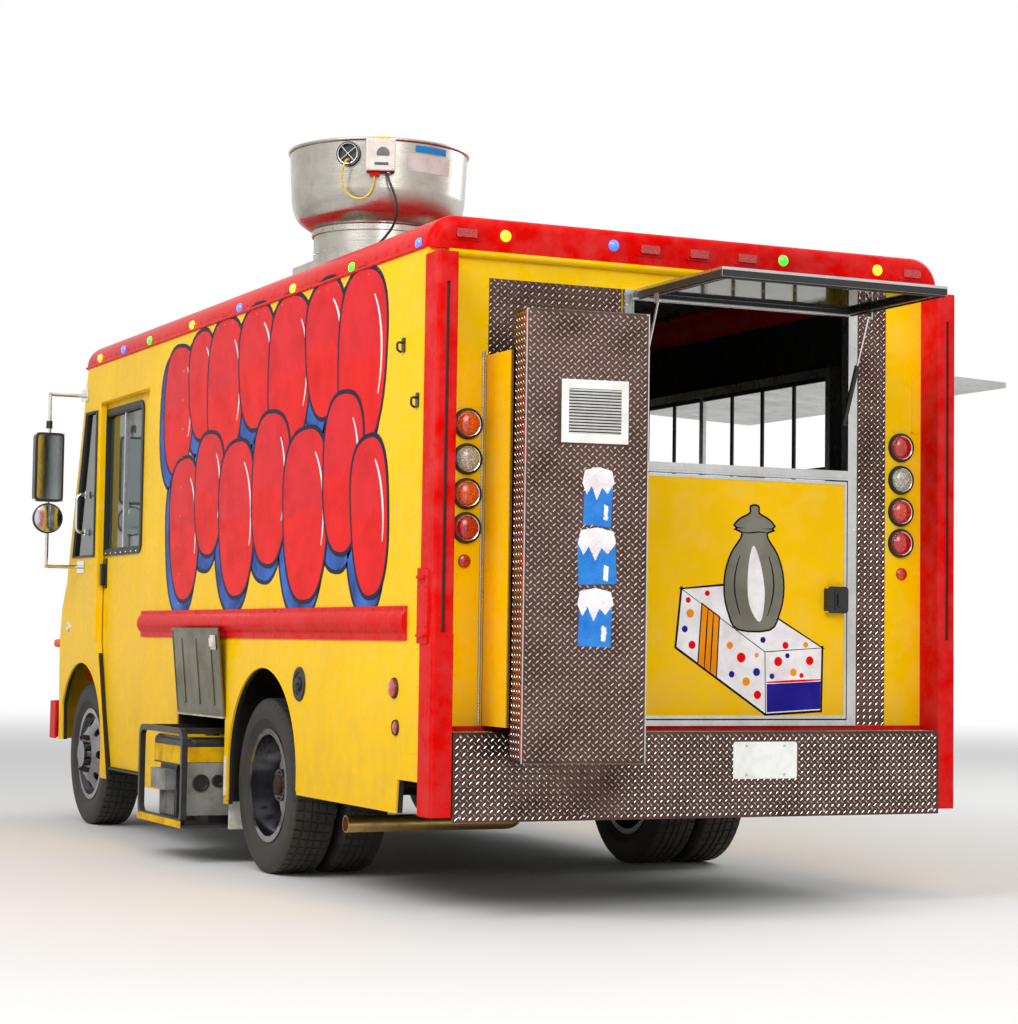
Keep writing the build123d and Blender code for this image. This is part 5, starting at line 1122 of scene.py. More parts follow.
# Locker: a tall case of tread plate with a painted side panel and a deep folded door that stands ajar. The
# door has a white pressed vent, and three snow-capped ice blocks painted straight over its raised bars.
ice_blue = flat_paint("ice_blue", rgb(58, 136, 214), rgb(40, 112, 196), 10, 0.3)
LOCKER_COATS = (ice_blue, art_white)
dress(tread_base, "locker", "locker_door")
dress(door_paint, "locker_side")
AJAR = radians(8)
door_out = Vector((sin(AJAR), cos(AJAR), 0))
door_across = Vector((-cos(AJAR), sin(AJAR), 0))
DOOR_DEPTH = 0.155
LOCKER_DOOR = (0.0053, 0.5103, 0.62, 2.378)
locker_face = face_at(Vector((0.949, 2.189, 0)) + door_out * DOOR_DEPTH, door_across, (0, 0, 1), door_out)
locker_hinge_side = face_at(locker_face @ Vector((LOCKER_DOOR[0], 0, 0)), -door_out, (0, 0, 1), -door_across)
locker_far_side = face_at(locker_face @ Vector((LOCKER_DOOR[1], 0, 0)), -door_out, (0, 0, 1), door_across)
VENT = (0.147, 0.427, 1.863, 2.104)
# Ice blocks: middle across the door, foot, head, half width
ICE_BLOCKS = ((0.305, 1.545, 1.735, 0.062), (0.302, 1.31, 1.5, 0.074), (0.298, 1.075, 1.265, 0.07))
ice_coats = []
for number, (middle, foot, head, half) in enumerate(ICE_BLOCKS):
    lean = (0.01, -0.008, 0.006)[number]
    ice_coats.append(([(middle - half, foot), (middle + half - lean, foot - lean), (middle + half, head),
                       (middle - half + lean, head + lean)], 1))
    cap = [(middle - half - 0.004, head - 0.03), (middle - half * 0.75, head - 0.075),
           (middle - half * 0.45, head - 0.04), (middle - half * 0.1, head - 0.095),
           (middle + half * 0.25, head - 0.045), (middle + half * 0.6, head - 0.07),
           (middle + half + 0.004, head - 0.026), (middle + half * 0.9, head + 0.02), (middle, head + 0.034),
           (middle - half * 0.9, head + 0.022)]
    ice_coats.append((cap, 2))
    glint = [(middle + half * 0.35, foot + 0.02), (middle + half * 0.62, foot + 0.016),
             (middle + half * 0.66, foot + 0.072), (middle + half * 0.4, foot + 0.08)]
    ice_coats.append((glint, 2))
tread("locker_door_bars", "locker_door",
      [(locker_face, LOCKER_DOOR[0] + 0.008, LOCKER_DOOR[1] - 0.008, LOCKER_DOOR[2] + 0.01, LOCKER_DOOR[3] - 0.01),
       (locker_hinge_side, 0.012, DOOR_DEPTH - 0.01, LOCKER_DOOR[2] + 0.01, LOCKER_DOOR[3] - 0.01),
       (locker_far_side, 0.012, DOOR_DEPTH - 0.01, LOCKER_DOOR[2] + 0.01, LOCKER_DOOR[3] - 0.01)],
      coats=ice_coats, gaps=((VENT[0] - 0.004, VENT[1] + 0.004, VENT[2] - 0.004, VENT[3] + 0.004),))
ice_art = bmesh.new()
lift = 0.0002
for number, (outline, coat) in enumerate(ice_coats):
    plate(ice_art, outline, 0, lift + COAT_STEP * (number % 3), locker_face, coat - 1)
piece("locker_ice_art", ice_art, "locker_door", "tread_plate", *LOCKER_COATS, smooth=0)
edges = bmesh.new()
corner = [locker_face @ Vector((x, y, -0.002)) for x, y in
          ((LOCKER_DOOR[0] + 0.002, LOCKER_DOOR[2] + 0.002), (LOCKER_DOOR[0] + 0.002, LOCKER_DOOR[3] - 0.002),
           (LOCKER_DOOR[1] - 0.002, LOCKER_DOOR[3] - 0.002), (LOCKER_DOOR[1] - 0.002, LOCKER_DOOR[2] + 0.002))]
along_path(edges, corner, 0.0032, 10, closed=True)
for x, y in ((0.01, LOCKER_DOOR[3] - 0.006), (LOCKER_DOOR[1] - 0.01, LOCKER_DOOR[3] - 0.006)):
    rivet(edges, x, y, locker_face, 0.005, 0.003)
for step in range(15):
    rivet(edges, 0.018, LOCKER_DOOR[2] + 0.05 + step * 0.1185, locker_face, 0.004)
piece("locker_door_edges", edges, "locker_door", "bright_metal", bright_metal)
tape = bmesh.new()
for step in range(17):
    block(tape, (0.004, LOCKER_DOOR[2] + 0.02 + step * 0.103, -0.0005),
          (0.013, LOCKER_DOOR[2] + 0.098 + step * 0.103, 0.0012), locker_hinge_side)
piece("locker_door_tape", tape, "locker_door", "roof_red", red_paint)
vent_white = flat_paint("vent_white", rgb(240, 238, 234), rgb(222, 216, 208), 14, 0.35)
vent = bmesh.new()
gasket(vent, rectangle(*VENT, 0.03), locker_face, -0.0028, 0.0424, -0.0005, 0.0062)
SLATS = 15
slat_pitch = (VENT[3] - VENT[2] - 0.06) / SLATS
for step in range(SLATS):
    low = VENT[2] + 0.03 + step * slat_pitch
    slat = [(low + 0.0008, 0.0008), (low + 0.0024, 0.0008), (low + slat_pitch * 0.62, 0.0056),
            (low + slat_pitch * 0.62 - 0.0014, 0.0062)]
    rings = [[vent.verts.new(locker_face @ Vector((x, y, z))) for y, z in slat]
             for x in (VENT[0] + 0.028, VENT[1] - 0.028)]
    band(vent, *rings)
for x in (VENT[0] + 0.014, VENT[1] - 0.014):
    turned(vent, [(0, 0.0085), (0.004, 0.0082), (0.006, 0.0066), (0.006, 0.005)],
           shifted(locker_face, x, (VENT[2] + VENT[3]) / 2), 16)
piece("locker_vent", vent, "locker_door", "lamp_clear", vent_white, bevel=0.0006)
# Painted shade: a black sheet just behind the slats darkens the vent's opening.
vent_shade = bmesh.new()
block(vent_shade, (VENT[0] + 0.026, VENT[2] + 0.026, -0.0005), (VENT[1] - 0.026, VENT[3] - 0.026, 0.0007), locker_face)
piece("locker_vent_painted_shade", vent_shade, "locker_door", "plastic_black", rubber_black)
case_right = face_at((0.44, 0, 0), (0, 1, 0), (0, 0, 1), (-1, 0, 0))
case_top = face_at((0, 0, 2.232), *UPWARD)
tread("locker_case_bars", "body", [(case_right, 1.942, 2.176, 0.76, 2.226), (case_top, 0.446, 0.94, 1.944, 2.176)])
case_hinge = bmesh.new()
for step in range(49):
    rod(case_hinge, (0.949, 2.189, 0.756 + step * 0.03), (0.949, 2.189, 0.783 + step * 0.03), 0.003, 8)
piece("locker_hinge_beads", case_hinge, "body", "bright_metal", bright_metal)


# Corner posts and rear bumper: folded steel posts painted red with a slot darkened by a black block as painted shade,
# and a bolted lower cover, and between them a channel of tread plate with a blank white registration plate.
dress(red_paint, "rear_posts")
dress(tread_base, "rear_bumper")
POST_X, POST_FACE_Y, SLOT_X = (1.134, 1.222), 2.071, 1.18
for side, sign in (("left", 1), ("right", -1)):
    post_face = face_at((0, POST_FACE_Y, 0), (sign, 0, 0), (0, 0, 1), (0, 1, 0))
    post_side = face_at((sign * POST_X[1], 0, 0), (0, 1, 0), (0, 0, 1), (sign, 0, 0))
    # Painted shade: a black block fills the slot from 8 mm below the post's face.
    slot = bmesh.new()
    block(slot, (SLOT_X - 0.007, 1.123, -0.039), (SLOT_X + 0.007, 2.498, -0.008), post_face)
    piece("post_slot_painted_shade_" + side, slot, "body", "plastic_black", rubber_black)
    cover = bmesh.new()
    plate(cover, rectangle(POST_X[0] + 0.002, POST_X[1] - 0.01, 0.402, 1.116), -0.001, 0.003, post_face)
    plate(cover, rectangle(1.946, 2.06, 0.402, 1.116), -0.001, 0.003, post_side)
    for step in range(8):
        for x in (POST_X[0] + 0.016, POST_X[1] - 0.024):
            rivet(cover, x, 0.44 + step * 0.092, shifted(post_face, 0, 0, 0.003), 0.005, 0.003)
    for step in range(14):
        rivet(cover, 1.145, 1.16 + step * 0.105, post_face, 0.004)
        rivet(cover, 1.955, 1.42 + step * 0.088, post_side, 0.004)
    gasket(cover, rectangle(SLOT_X - 0.008, SLOT_X + 0.008, 1.122, 2.499), post_face, 0.0, 0.004, -0.001, 0.002)
    piece("post_covers_" + side, cover, "body", "rail_red", red_paint, bevel=0.001)
    bracket = bmesh.new()
    plate(bracket, [(1.925, 1.075), (2.028, 1.075), (2.028, 1.36), (1.985, 1.372), (1.925, 1.372)],
          -0.001, 0.01, post_side)
    for z in (1.1, 1.33):
        block(bracket, (1.94, z, 0.01), (2.014, z + 0.012, 0.022), post_side)
    for y, z in ((1.94, 1.14), (2.014, 1.14), (1.94, 1.3), (2.014, 1.3)):
        rivet(bracket, y, z, shifted(post_side, 0, 0, 0.01), 0.006, 0.004)
    piece("post_bracket_" + side, bracket, "body", "rail_red", red_paint, bevel=0.002)
BUMPER = (1.129, 0.381, 0.731, 2.08)
bumper_face = face_at((0, BUMPER[3], 0), *BACKWARD)
bumper_top = face_at((0, 0, BUMPER[2]), *UPWARD)
NUMBER_PLATE = (-0.425, -0.12, 0.538, 0.69)
tread("bumper_bars", "body",
      [(bumper_face, -BUMPER[0] + 0.006, BUMPER[0] - 0.006, BUMPER[1] + 0.008, BUMPER[2] - 0.008),
       (bumper_top, -BUMPER[0] + 0.006, BUMPER[0] - 0.006, 1.954, 2.072)],
      gaps=((NUMBER_PLATE[0] + 0.01, NUMBER_PLATE[1] - 0.01, NUMBER_PLATE[2] + 0.01, NUMBER_PLATE[3] - 0.01),))
sill = bmesh.new()
block(sill, (-1.1295, 1.9455, 0.7325), (1.1295, 1.949, 0.7512))
for step in range(18):
    rod(sill, (-1.06 + step * 0.125, 1.9485, 0.742), (-1.06 + step * 0.125, 1.9515, 0.742), 0.004, 8)
piece("sill_strip", sill, "body", "rail_red", red_paint, bevel=0.0008)
plate_white = flat_paint("plate_white", rgb(248, 248, 244), rgb(234, 232, 226), 16, 0.32)
number_plate = bmesh.new()
plate(number_plate, rounded_box(*NUMBER_PLATE, 0.012), 0.0014, 0.0034, bumper_face)
gasket(number_plate, rounded_box(NUMBER_PLATE[0] + 0.007, NUMBER_PLATE[1] - 0.007, NUMBER_PLATE[2] + 0.007,
                                 NUMBER_PLATE[3] - 0.007, 0.009), bumper_face, -0.002, 0.002, 0.003, 0.0048)
piece("blank_plate", number_plate, "body", "bright_metal", plate_white, bevel=0.0004)
plate_bolts = bmesh.new()
for x in (NUMBER_PLATE[0] + 0.062, NUMBER_PLATE[1] - 0.062):
    for z in (NUMBER_PLATE[2] + 0.017, NUMBER_PLATE[3] - 0.017):
        rod(plate_bolts, bumper_face @ Vector((x, z, 0.003)), bumper_face @ Vector((x, z, 0.0075)), 0.0055, 6)
for x in (-1.1, -0.56, 0.0, 0.56, 1.1):
    for z in (0.4, 0.712):
        rivet(plate_bolts, x, z, bumper_face, 0.007, 0.004)
piece("bumper_bolts", plate_bolts, "body", "bright_metal", bright_metal)


# Lamps: round tail lamps of moulded plastic set in black rubber rings, red reflectors below them, side
# markers on the walls and small rectangular marker lamps on red feet on the roof's rear edge.
def coated(shape, number, make, *values):
    """Add a form to a shape and give its faces one material number."""
    known = len(shape.faces)
    make(shape, *values)
    shape.faces.ensure_lookup_table()
    for made in shape.faces[known:]:
        made.material_index = number


LAMP_X = 1.03
# Tail lamps: height on the left, height on the right, lens number on the left and on the right
RUBBER, AMBER, CLEAR, SCARLET, CRIMSON, BRIGHT, RED_FOOT = range(7)
TAIL_LAMPS = ((1.953, AMBER, CRIMSON), (1.812, CLEAR, CLEAR), (1.673, AMBER, SCARLET), (1.537, CRIMSON, CRIMSON))
LENS_PROFILE = ((0, 0.0335), (0.014, 0.033), (0.028, 0.03), (0.04, 0.024), (0.0465, 0.017), (0.048, 0.01))
lamp_set = bmesh.new()
for sign, side_column in ((1, 1), (-1, 2)):
    for lamp in TAIL_LAMPS:
        centre = shifted(rear_face, sign * LAMP_X, lamp[0])
        coated(lamp_set, lamp[side_column], turned, LENS_PROFILE, centre, 40)
        coated(lamp_set, BRIGHT, turned, [(0.0478, 0.009), (0.0486, 0.015), (0.0512, 0.016), (0.0525, 0.01)],
               centre, 40)
        coated(lamp_set, RUBBER, turned, [(0.052, -0.001), (0.052, 0.015), (0.0545, 0.019), (0.059, 0.018),
                                          (0.0625, 0.01), (0.0635, -0.001)], centre, 40, True)
    reflector = shifted(rear_face, sign * 1.036, 1.404)
    coated(lamp_set, SCARLET if sign < 0 else CRIMSON, turned,
           [(0, 0.012), (0.022, 0.0112), (0.0262, 0.008), (0.027, -0.001)], reflector, 28)
    wall = left_wall if sign > 0 else right_wall
    for along, up, radius, proud in ((1.668, 0.894, 0.042, 0.021), (1.692, 0.736, 0.032, 0.013)):
        marker = shifted(wall, along, up)
        coated(lamp_set, CRIMSON, turned, [(0, proud), (radius * 0.5, proud - 0.001), (radius * 0.84, proud - 0.006),
                                           (radius * 0.88, 0.004)], marker, 32)
        coated(lamp_set, RUBBER, turned, [(radius * 0.86, -0.001), (radius * 0.86, 0.008), (radius * 0.94, 0.01),
                                          (radius, 0.006), (radius * 1.02, -0.001)], marker, 32, True)
for marker_x in (1.062, 0.232, 0.0, -0.232, -1.062):
    coated(lamp_set, RED_FOOT, plate, rounded_box(marker_x - 0.066, marker_x + 0.066, 2.686, 2.742, 0.01),
           -0.004, 0.005, cap_rear)
    coated(lamp_set, CRIMSON, plate, rounded_box(marker_x - 0.044, marker_x + 0.044, 2.697, 2.731, 0.005),
           0.005, 0.016, cap_rear)
lamps = piece("tail_and_marker_lamps", lamp_set, "body", "lamp_red", rubber_black, lens_amber, lens_clear,
              lens_orange_red, lens_red, chrome, red_paint, smooth=50)
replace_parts(lamps, "lamps")


# Roof fan: a spun aluminium bowl on a round neck and a square curb. Its switch box has a white cover with
# a half-moon dial, a vent hole with crossed wires lets the motor's lead out, and a data plate is left bare.
spun_metal = worn_metal("spun_metal", rgb(188, 184, 176), rgb(132, 120, 100), 0.55, 0.24, (0.04, 0.04, 1), 0.0012)
dress(spun_metal, "roof_fan")
dress(plastic_black, "fan_cable")
cable_yellow = flat_paint("cable_yellow", rgb(226, 204, 92), rgb(206, 180, 66), 20, 0.4)
dress(cable_yellow, "fan_loop_cable")
FAN_AXIS = (0.6, -0.16)


def fan_face(angle, out, z):
    """A face that looks out of the bowl at an angle from +X: x runs round it and y runs up."""
    turn = radians(angle)
    away = Vector((cos(turn), sin(turn), 0))
    return face_at(Vector((*FAN_AXIS, z)) + away * out, (-away.y, away.x, 0), (0, 0, 1), away)


def smooth_line(points, steps=5):
    """A smooth open line through a few points."""
    line = []
    for i in range(len(points) - 1):
        line += eased(*(Vector(points[min(max(i + k, 0), len(points) - 1)]) for k in (-1, 0, 1, 2)), steps)
    return line + [tuple(points[-1])]


# Spun skin, from the neck up to the rim: radius, height
SPUN_SKIN = ((0.3145, 3.0672), (0.334, 3.0735), (0.351, 3.0832), (0.3865, 3.1108), (0.4075, 3.1495),
             (0.4192, 3.2), (0.4222, 3.25), (0.431, 3.434))
ROLLED_LIP = ((0.43, 3.435), (0.437, 3.4365), (0.4412, 3.44), (0.4418, 3.4455), (0.4395, 3.45),
              (0.434, 3.4508), (0.422, 3.4508))
SKIN_PROUD = 0.0006


def skin_radius(z):
    """Radius of the spun skin at a height."""
    line = smooth_line(SPUN_SKIN)
    for (r0, z0), (r1, z1) in zip(line, line[1:]):
        if z0 <= z <= z1:
            return SKIN_PROUD + r0 + (r1 - r0) * (z - z0) / (z1 - z0)


skin = bmesh.new()
fan_base = Matrix.Translation((*FAN_AXIS, 0))
turned(skin, [(radius + SKIN_PROUD, z) for radius, z in smooth_line(SPUN_SKIN)], fan_base, 128)
turned(skin, ROLLED_LIP, fan_base, 128)
piece("fan_spun_skin", skin, "body", "bright_metal", spun_metal, smooth=60)
fan_vent = fan_face(49, 0.432, 3.372)
# Painted shade: a black cup fills the vent hole; the black collar round it on the skin is rubber.
vent_shade_and_collar = bmesh.new()
turned(vent_shade_and_collar, [(0, 0.0008), (0.0465, 0.0008), (0.0474, 0.0125)], fan_vent, 40)
turned(vent_shade_and_collar, [(0.05, 0.0134), (0.0508, 0.0144), (0.0574, 0.014), (0.059, 0.0112), (0.059, -0.01)], fan_vent, 40)
piece("fan_vent_shade_and_collar", vent_shade_and_collar, "body", "plastic_black", rubber_black)
vent_ring = bmesh.new()
turned(vent_ring, [(0.0464, 0.012), (0.0468, 0.0156), (0.05, 0.016), (0.0508, 0.0136)], fan_vent, 40)
for turn in (38, 132):
    c, s = cos(radians(turn)), sin(radians(turn))
    rod(vent_ring, fan_vent @ Vector((-0.047 * c, -0.047 * s, 0.0095)),
        fan_vent @ Vector((0.047 * c, 0.047 * s, 0.0115)), 0.0026, 10)
piece("fan_vent_ring", vent_ring, "body", "bright_metal", bright_metal)
box_white = flat_paint("box_white", rgb(232, 230, 224), rgb(206, 200, 188), 10, 0.32)
fan_box = fan_face(69.4, 0, 3.358)
cover = bmesh.new()
block(cover, (-0.069, -0.0755, 0.406), (0.069, 0.0765, 0.482), fan_box)
piece("fan_switch_cover", cover, "body", "lamp_clear", box_white, bevel=0.005)
dial_grey = flat_paint("dial_grey", rgb(120, 124, 128), rgb(96, 100, 104), 12, 0.35)
dial = bmesh.new()
half_moon = [(0.03 * cos(radians(turn)) + 0.01, 0.03 * sin(radians(turn)) + 0.006) for turn in range(-20, 201, 11)]
plate(dial, half_moon, 0.4815, 0.485, fan_box)
plate(dial, rectangle(-0.03, 0.036, -0.05, -0.036), 0.4815, 0.4832, fan_box)
piece("fan_switch_dial", dial, "body", "plastic_black", dial_grey, bevel=0.0008)
strip = bmesh.new()
block(strip, (-0.03, 0.0765, 0.446), (0.044, 0.089, 0.47), fan_box)
piece("fan_box_top_strip", strip, "body", "cable_yellow", cable_yellow, bevel=0.002)
seal = bmesh.new()
block(seal, (-0.064, -0.079, 0.412), (0.064, -0.075, 0.476), fan_box)
piece("fan_box_seal", seal, "body", "plastic_black", rubber_black, bevel=0.001)
gland = bmesh.new()
block(gland, (-0.052, -0.0945, 0.438), (-0.004, -0.0785, 0.468), fan_box)
piece("fan_box_gland", gland, "body", "lamp_red", red_paint, bevel=0.002)
screws = bmesh.new()
for x in (-0.058, 0.058):
    for y in (-0.064, 0.065):
        rivet(screws, x, y, shifted(fan_box, 0, 0, 0.482), 0.0045, 0.003)
for step in range(28):
    turn = 360 * step / 28
    rivet(screws, 0, 0, fan_face(turn, 0.31, 2.945), 0.005, 0.004)
    rivet(screws, 0, 0, fan_face(turn, 0.319, 3.047), 0.005, 0.004)
for side in range(4):
    turn = 90 * side
    for step in range(5):
        rivet(screws, -0.24 + 0.12 * step, 0, fan_face(turn, 0.32, 2.82), 0.007, 0.005)
piece("fan_screws", screws, "body", "bright_metal", bright_metal)
label_grey = flat_paint("label_grey", rgb(214, 214, 210), rgb(196, 194, 188), 18, 0.35)


def wrapped(shape, angles, heights, proud):
    """Two rows of points round the bowl, a little off its skin."""
    return [[shape.verts.new(fan_face(angle, skin_radius(z) + proud, z).translation) for angle in angles]
            for z in heights]


LABEL_PROUD = 0.0012
label = bmesh.new()
rows = wrapped(label, range(87, 121, 3), (3.3, 3.384), LABEL_PROUD)
back = wrapped(label, range(87, 121, 3), (3.3, 3.384), -0.001)
last = len(rows[0]) - 1
for i in range(last):
    label.faces.new((rows[0][i], rows[0][i + 1], rows[1][i + 1], rows[1][i]))
    label.faces.new((rows[0][i], back[0][i], back[0][i + 1], rows[0][i + 1]))
    label.faces.new((rows[1][i], rows[1][i + 1], back[1][i + 1], back[1][i]))
for i in (0, last):
    label.faces.new((rows[0][i], rows[1][i], back[1][i], back[0][i]))
piece("fan_bare_label", label, "body", "bright_metal", label_grey)
blue_label = bmesh.new()
rows = wrapped(blue_label, range(92, 119, 3), (3.392, 3.424), LABEL_PROUD)
for i in range(len(rows[0]) - 1):
    blue_label.faces.new((rows[0][i], rows[0][i + 1], rows[1][i + 1], rows[1][i]))
strip_blue = flat_paint("strip_blue", rgb(48, 140, 210), rgb(40, 124, 196), 20, 0.3)
piece("fan_blank_blue_strip", blue_label, "body", "bright_metal", strip_blue)
guard = bmesh.new()
for radius in (0.19, 0.25, 0.31, 0.37):
    along_path(guard, [(x, y, 3.428) for x, y in circle(*FAN_AXIS, radius, 64)], 0.0028, 6, closed=True)
# Spokes of the guard: radius, height
SPOKE = ((0.165, 3.332), (0.19, 3.425), (0.419, 3.43))
for step in range(12):
    turn = 2 * pi * step / 12
    along_path(guard, [(FAN_AXIS[0] + radius * cos(turn), FAN_AXIS[1] + radius * sin(turn), z)
                       for radius, z in SPOKE], 0.0028, 6)
piece("fan_bird_guard", guard, "body", "bright_metal", bright_metal)


# Wheels: radial tyres with five ribs cut into blocks, on pressed steel rims. The front discs bulge out and
# the rear ones are dished in, both are dull with brake dust, and the nuts are rusty.
rubber = painted("tyre_rubber", rgb(38, 37, 36), rgb(104, 94, 78), 0.5, 0.9, 0.62, 0.1, 0.003,
                 Specular_IOR_Level=0.35)
rim_metal = worn_metal("rim_metal", rgb(148, 148, 152), rgb(78, 70, 64), 0.6, 0.14, (1, 0.2, 0.2))
dress(rim_metal, "rim_front_left", "rim_front_right", "rims_rear_left", "rims_rear_right")
iron = worn_metal("iron", rgb(70, 62, 54), rgb(74, 46, 30), 0.8, 0.55, Specular_IOR_Level=0.3)
TYRE_RADIUS = 0.4055
# Tyre section from bead to crown: distance from the middle, radius
TYRE_SIDE = ((0.085, 0.2478), (0.087, 0.262), (0.096, 0.28), (0.105, 0.3), (0.1085, 0.306),
             (0.11, 0.3075), (0.1105, 0.312), (0.1125, 0.335), (0.1118, 0.356), (0.1095, 0.37),
             (0.109, 0.374), (0.1065, 0.3785), (0.104, 0.387), (0.099, 0.3965), (0.095, 0.4015),
             (0.09, 0.403))
# Crown points: distance from the middle, drop below the crown, whether the cross cuts reach them
TYRE_CROWN = ((0.086, 0.0015, True), (0.06, 0.0008, True), (0.0575, 0.0088, False), (0.05, 0.0088, False),
              (0.0475, 0.0008, True), (0.021, 0.0002, True), (0.0185, 0.0088, False), (0.0115, 0.0088, False),
              (0.009, 0.0, True))
PITCHES = 54
CUT_STEPS = ((0.00, False), (0.36, False), (0.74, False), (0.8, True), (0.95, True))
half_section = [(d, r, False) for d, r in TYRE_SIDE] + [(d, TYRE_RADIUS - drop, cut) for d, drop, cut in TYRE_CROWN]
section = [(-d, r, cut) for d, r, cut in half_section] + [(d, r, cut) for d, r, cut in reversed(half_section)]
CUT_DEPTH = 0.0065


def tyre(shape, x, y, sign):
    """Add one tyre round its axle point."""
    rings = []
    for pitch in range(PITCHES):
        for part, low in CUT_STEPS:
            turn = 2 * pi * (pitch + part) / PITCHES
            ring = []
            for d, r, cut in section:
                lean = 0.25 * copysign(1, d) * abs(d) / 0.1 * (2 * pi / PITCHES) if cut else 0
                reach = r - (CUT_DEPTH if cut and low else 0)
                if low and 0.386 < r < 0.404 and abs(d) > 0.09:
                    reach -= 0.004
                ring.append(shape.verts.new((x + sign * d, y + reach * cos(turn + lean),
                                             TYRE_RADIUS + reach * sin(turn + lean))))
            rings.append(ring)
    for i in range(len(rings)):
        for k in range(1, len(section)):
            shape.faces.new((rings[i - 1][k - 1], rings[i - 1][k], rings[i][k], rings[i][k - 1]))


def nuts(shape, x, y, sign, ring, count, reach, radius=0.015):
    """Add wheel nuts on their studs, round the axle."""
    for step in range(count):
        turn = 2 * pi * (step + 0.5) / count
        c, s = cos(turn), sin(turn)
        foot = Vector((x, y + ring * c, TYRE_RADIUS + ring * s))
        rod(shape, foot - Vector((sign * 0.002, 0, 0)), foot + Vector((sign * reach, 0, 0)), radius, 6)
        rod(shape, foot, foot + Vector((sign * (reach + 0.012), 0, 0)), radius * 0.5, 10)


FRONT_AXLE_Y, WHEEL_MID_X, TWIN_MID_X = -3.125, 1.0675, 0.8125
for side, sign in (("left", 1), ("right", -1)):
    front_tyre = bmesh.new()
    tyre(front_tyre, sign * WHEEL_MID_X, FRONT_AXLE_Y, sign)
    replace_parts(piece("tread_tyre_front_" + side, front_tyre, "wheel_front_" + side, "tyre", rubber, smooth=28),
                "tyre_front_" + side)
    rear_tyres = bmesh.new()
    tyre(rear_tyres, sign * WHEEL_MID_X, 0, sign)
    tyre(rear_tyres, sign * TWIN_MID_X, 0, sign)
    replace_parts(piece("tread_tyres_rear_" + side, rear_tyres, "wheels_rear_" + side, "tyre", rubber, smooth=28),
                "tyres_rear_" + side)
    fixings = bmesh.new()
    nuts(fixings, sign * (WHEEL_MID_X + 0.118), FRONT_AXLE_Y, sign, 0.1, 8, 0.016)
    piece("front_wheel_nuts_" + side, fixings, "wheel_front_" + side, "iron", iron)
    fixings = bmesh.new()
    nuts(fixings, sign * (WHEEL_MID_X - 0.1155), 0, sign, 0.103, 8, 0.018)
    piece("rear_wheel_nuts_" + side, fixings, "wheels_rear_" + side, "iron", iron)
    hub = bmesh.new()
    rear_hub = face_at((sign * (WHEEL_MID_X + 0.04), 0, TYRE_RADIUS), (0, 1, 0), (0, 0, 1), (sign, 0, 0))
    turned(hub, [(0, 0.012), (0.04, 0.012), (0.046, 0.008), (0.048, -0.001)], rear_hub, 32)
    for step in range(8):
        turn = radians(45 * step)
        rivet(hub, 0.06 * cos(turn), 0.06 * sin(turn), rear_hub, 0.007, 0.007)
    piece("rear_hub_cap_" + side, hub, "wheels_rear_" + side, "iron", iron)


# Running gear: cast and forged iron axles, knuckles and engine that rust, an exhaust pipe turned golden by
# heat, and a ladder frame and fuel tank in black paint under road dust.
dress(iron, "engine", "front_axle", "rear_axle", "knuckle_left", "knuckle_right")
exhaust_steel = worn_metal("exhaust_steel", rgb(204, 168, 104), rgb(124, 88, 46), 0.7, 0.34)
dress(exhaust_steel, "exhaust")
frame_black = painted("frame_black", rgb(24, 23, 22), rgb(84, 72, 56), 0.9, 1.4, 0.6, 0.1)
dress(frame_black, "chassis_frame", "fuel_tank")


# Generator, its bay and its flap: a yellow and black set in a tube frame on a drawer, seen past the open
# stainless flap, which is stiffened by pressed ribs and hangs up on a white beaded hinge.
stainless = worn_metal("stainless", rgb(190, 190, 188), rgb(150, 146, 140), 0.35, 0.24, (0.05, 1, 1))
dress(black_paint, "generator")
flap_steel = worn_metal("flap_steel", rgb(132, 124, 106), rgb(86, 78, 60), 0.6, 0.3, (0.05, 1, 1))
dress(flap_steel, "generator_flap")
set_yellow = flat_paint("set_yellow", rgb(236, 186, 12), rgb(196, 146, 20), 9, 0.4)
set_grey = flat_paint("set_grey", rgb(150, 150, 146), rgb(112, 108, 100), 9, 0.45)
set_tank = bmesh.new()
plate(set_tank, rounded_box(1.0085, 1.3715, -1.1715, -0.5825, 0.0465), 0.47, 0.556, Matrix())
plate(set_tank, rounded_box(1.028, 1.352, -1.152, -0.602, 0.038), 0.602, 0.6045, Matrix())
piece("generator_tank_cover", set_tank, "generator", "body_yellow", set_yellow, bevel=0.003)
set_parts = bmesh.new()
turned(set_parts, [(0, 0.024), (0.026, 0.024), (0.034, 0.018), (0.036, -0.002)],
       face_at((1.19, -0.76, 0.6035), *UPWARD), 24)
panel = face_at((1.19, -0.569, 0.354), *BACKWARD)
for x, z, radius in ((-0.13, 0.04, 0.03), (-0.05, 0.04, 0.03), (0.03, 0.04, 0.03), (0.115, 0.03, 0.042)):
    turned(set_parts, [(0, 0.003), (radius * 0.7, 0.003), (radius * 0.8, 0.01), (radius, 0.009),
                       (radius * 1.04, -0.001)],
           shifted(panel, x, z), 24)
starter = face_at((1.19, -1.185, 0.335), (1, 0, 0), (0, 0, 1), (0, -1, 0))
turned(set_parts, [(0, 0.012), (0.03, 0.012), (0.04, 0.006), (0.096, 0.005), (0.108, 0.001), (0.11, -0.004)],
       starter, 36)
for step in range(16):
    turn = 2 * pi * step / 16
    rod(set_parts, starter @ Vector((0.05 * cos(turn), 0.05 * sin(turn), 0.006)),
        starter @ Vector((0.092 * cos(turn), 0.092 * sin(turn), 0.006)), 0.004, 6)
piece("generator_cap_and_sockets", set_parts, "generator", "plastic_black", plastic_black, bevel=0.001)
set_plates = bmesh.new()
block(set_plates, (1.007, -0.5695, 0.228), (1.373, -0.5665, 0.481))
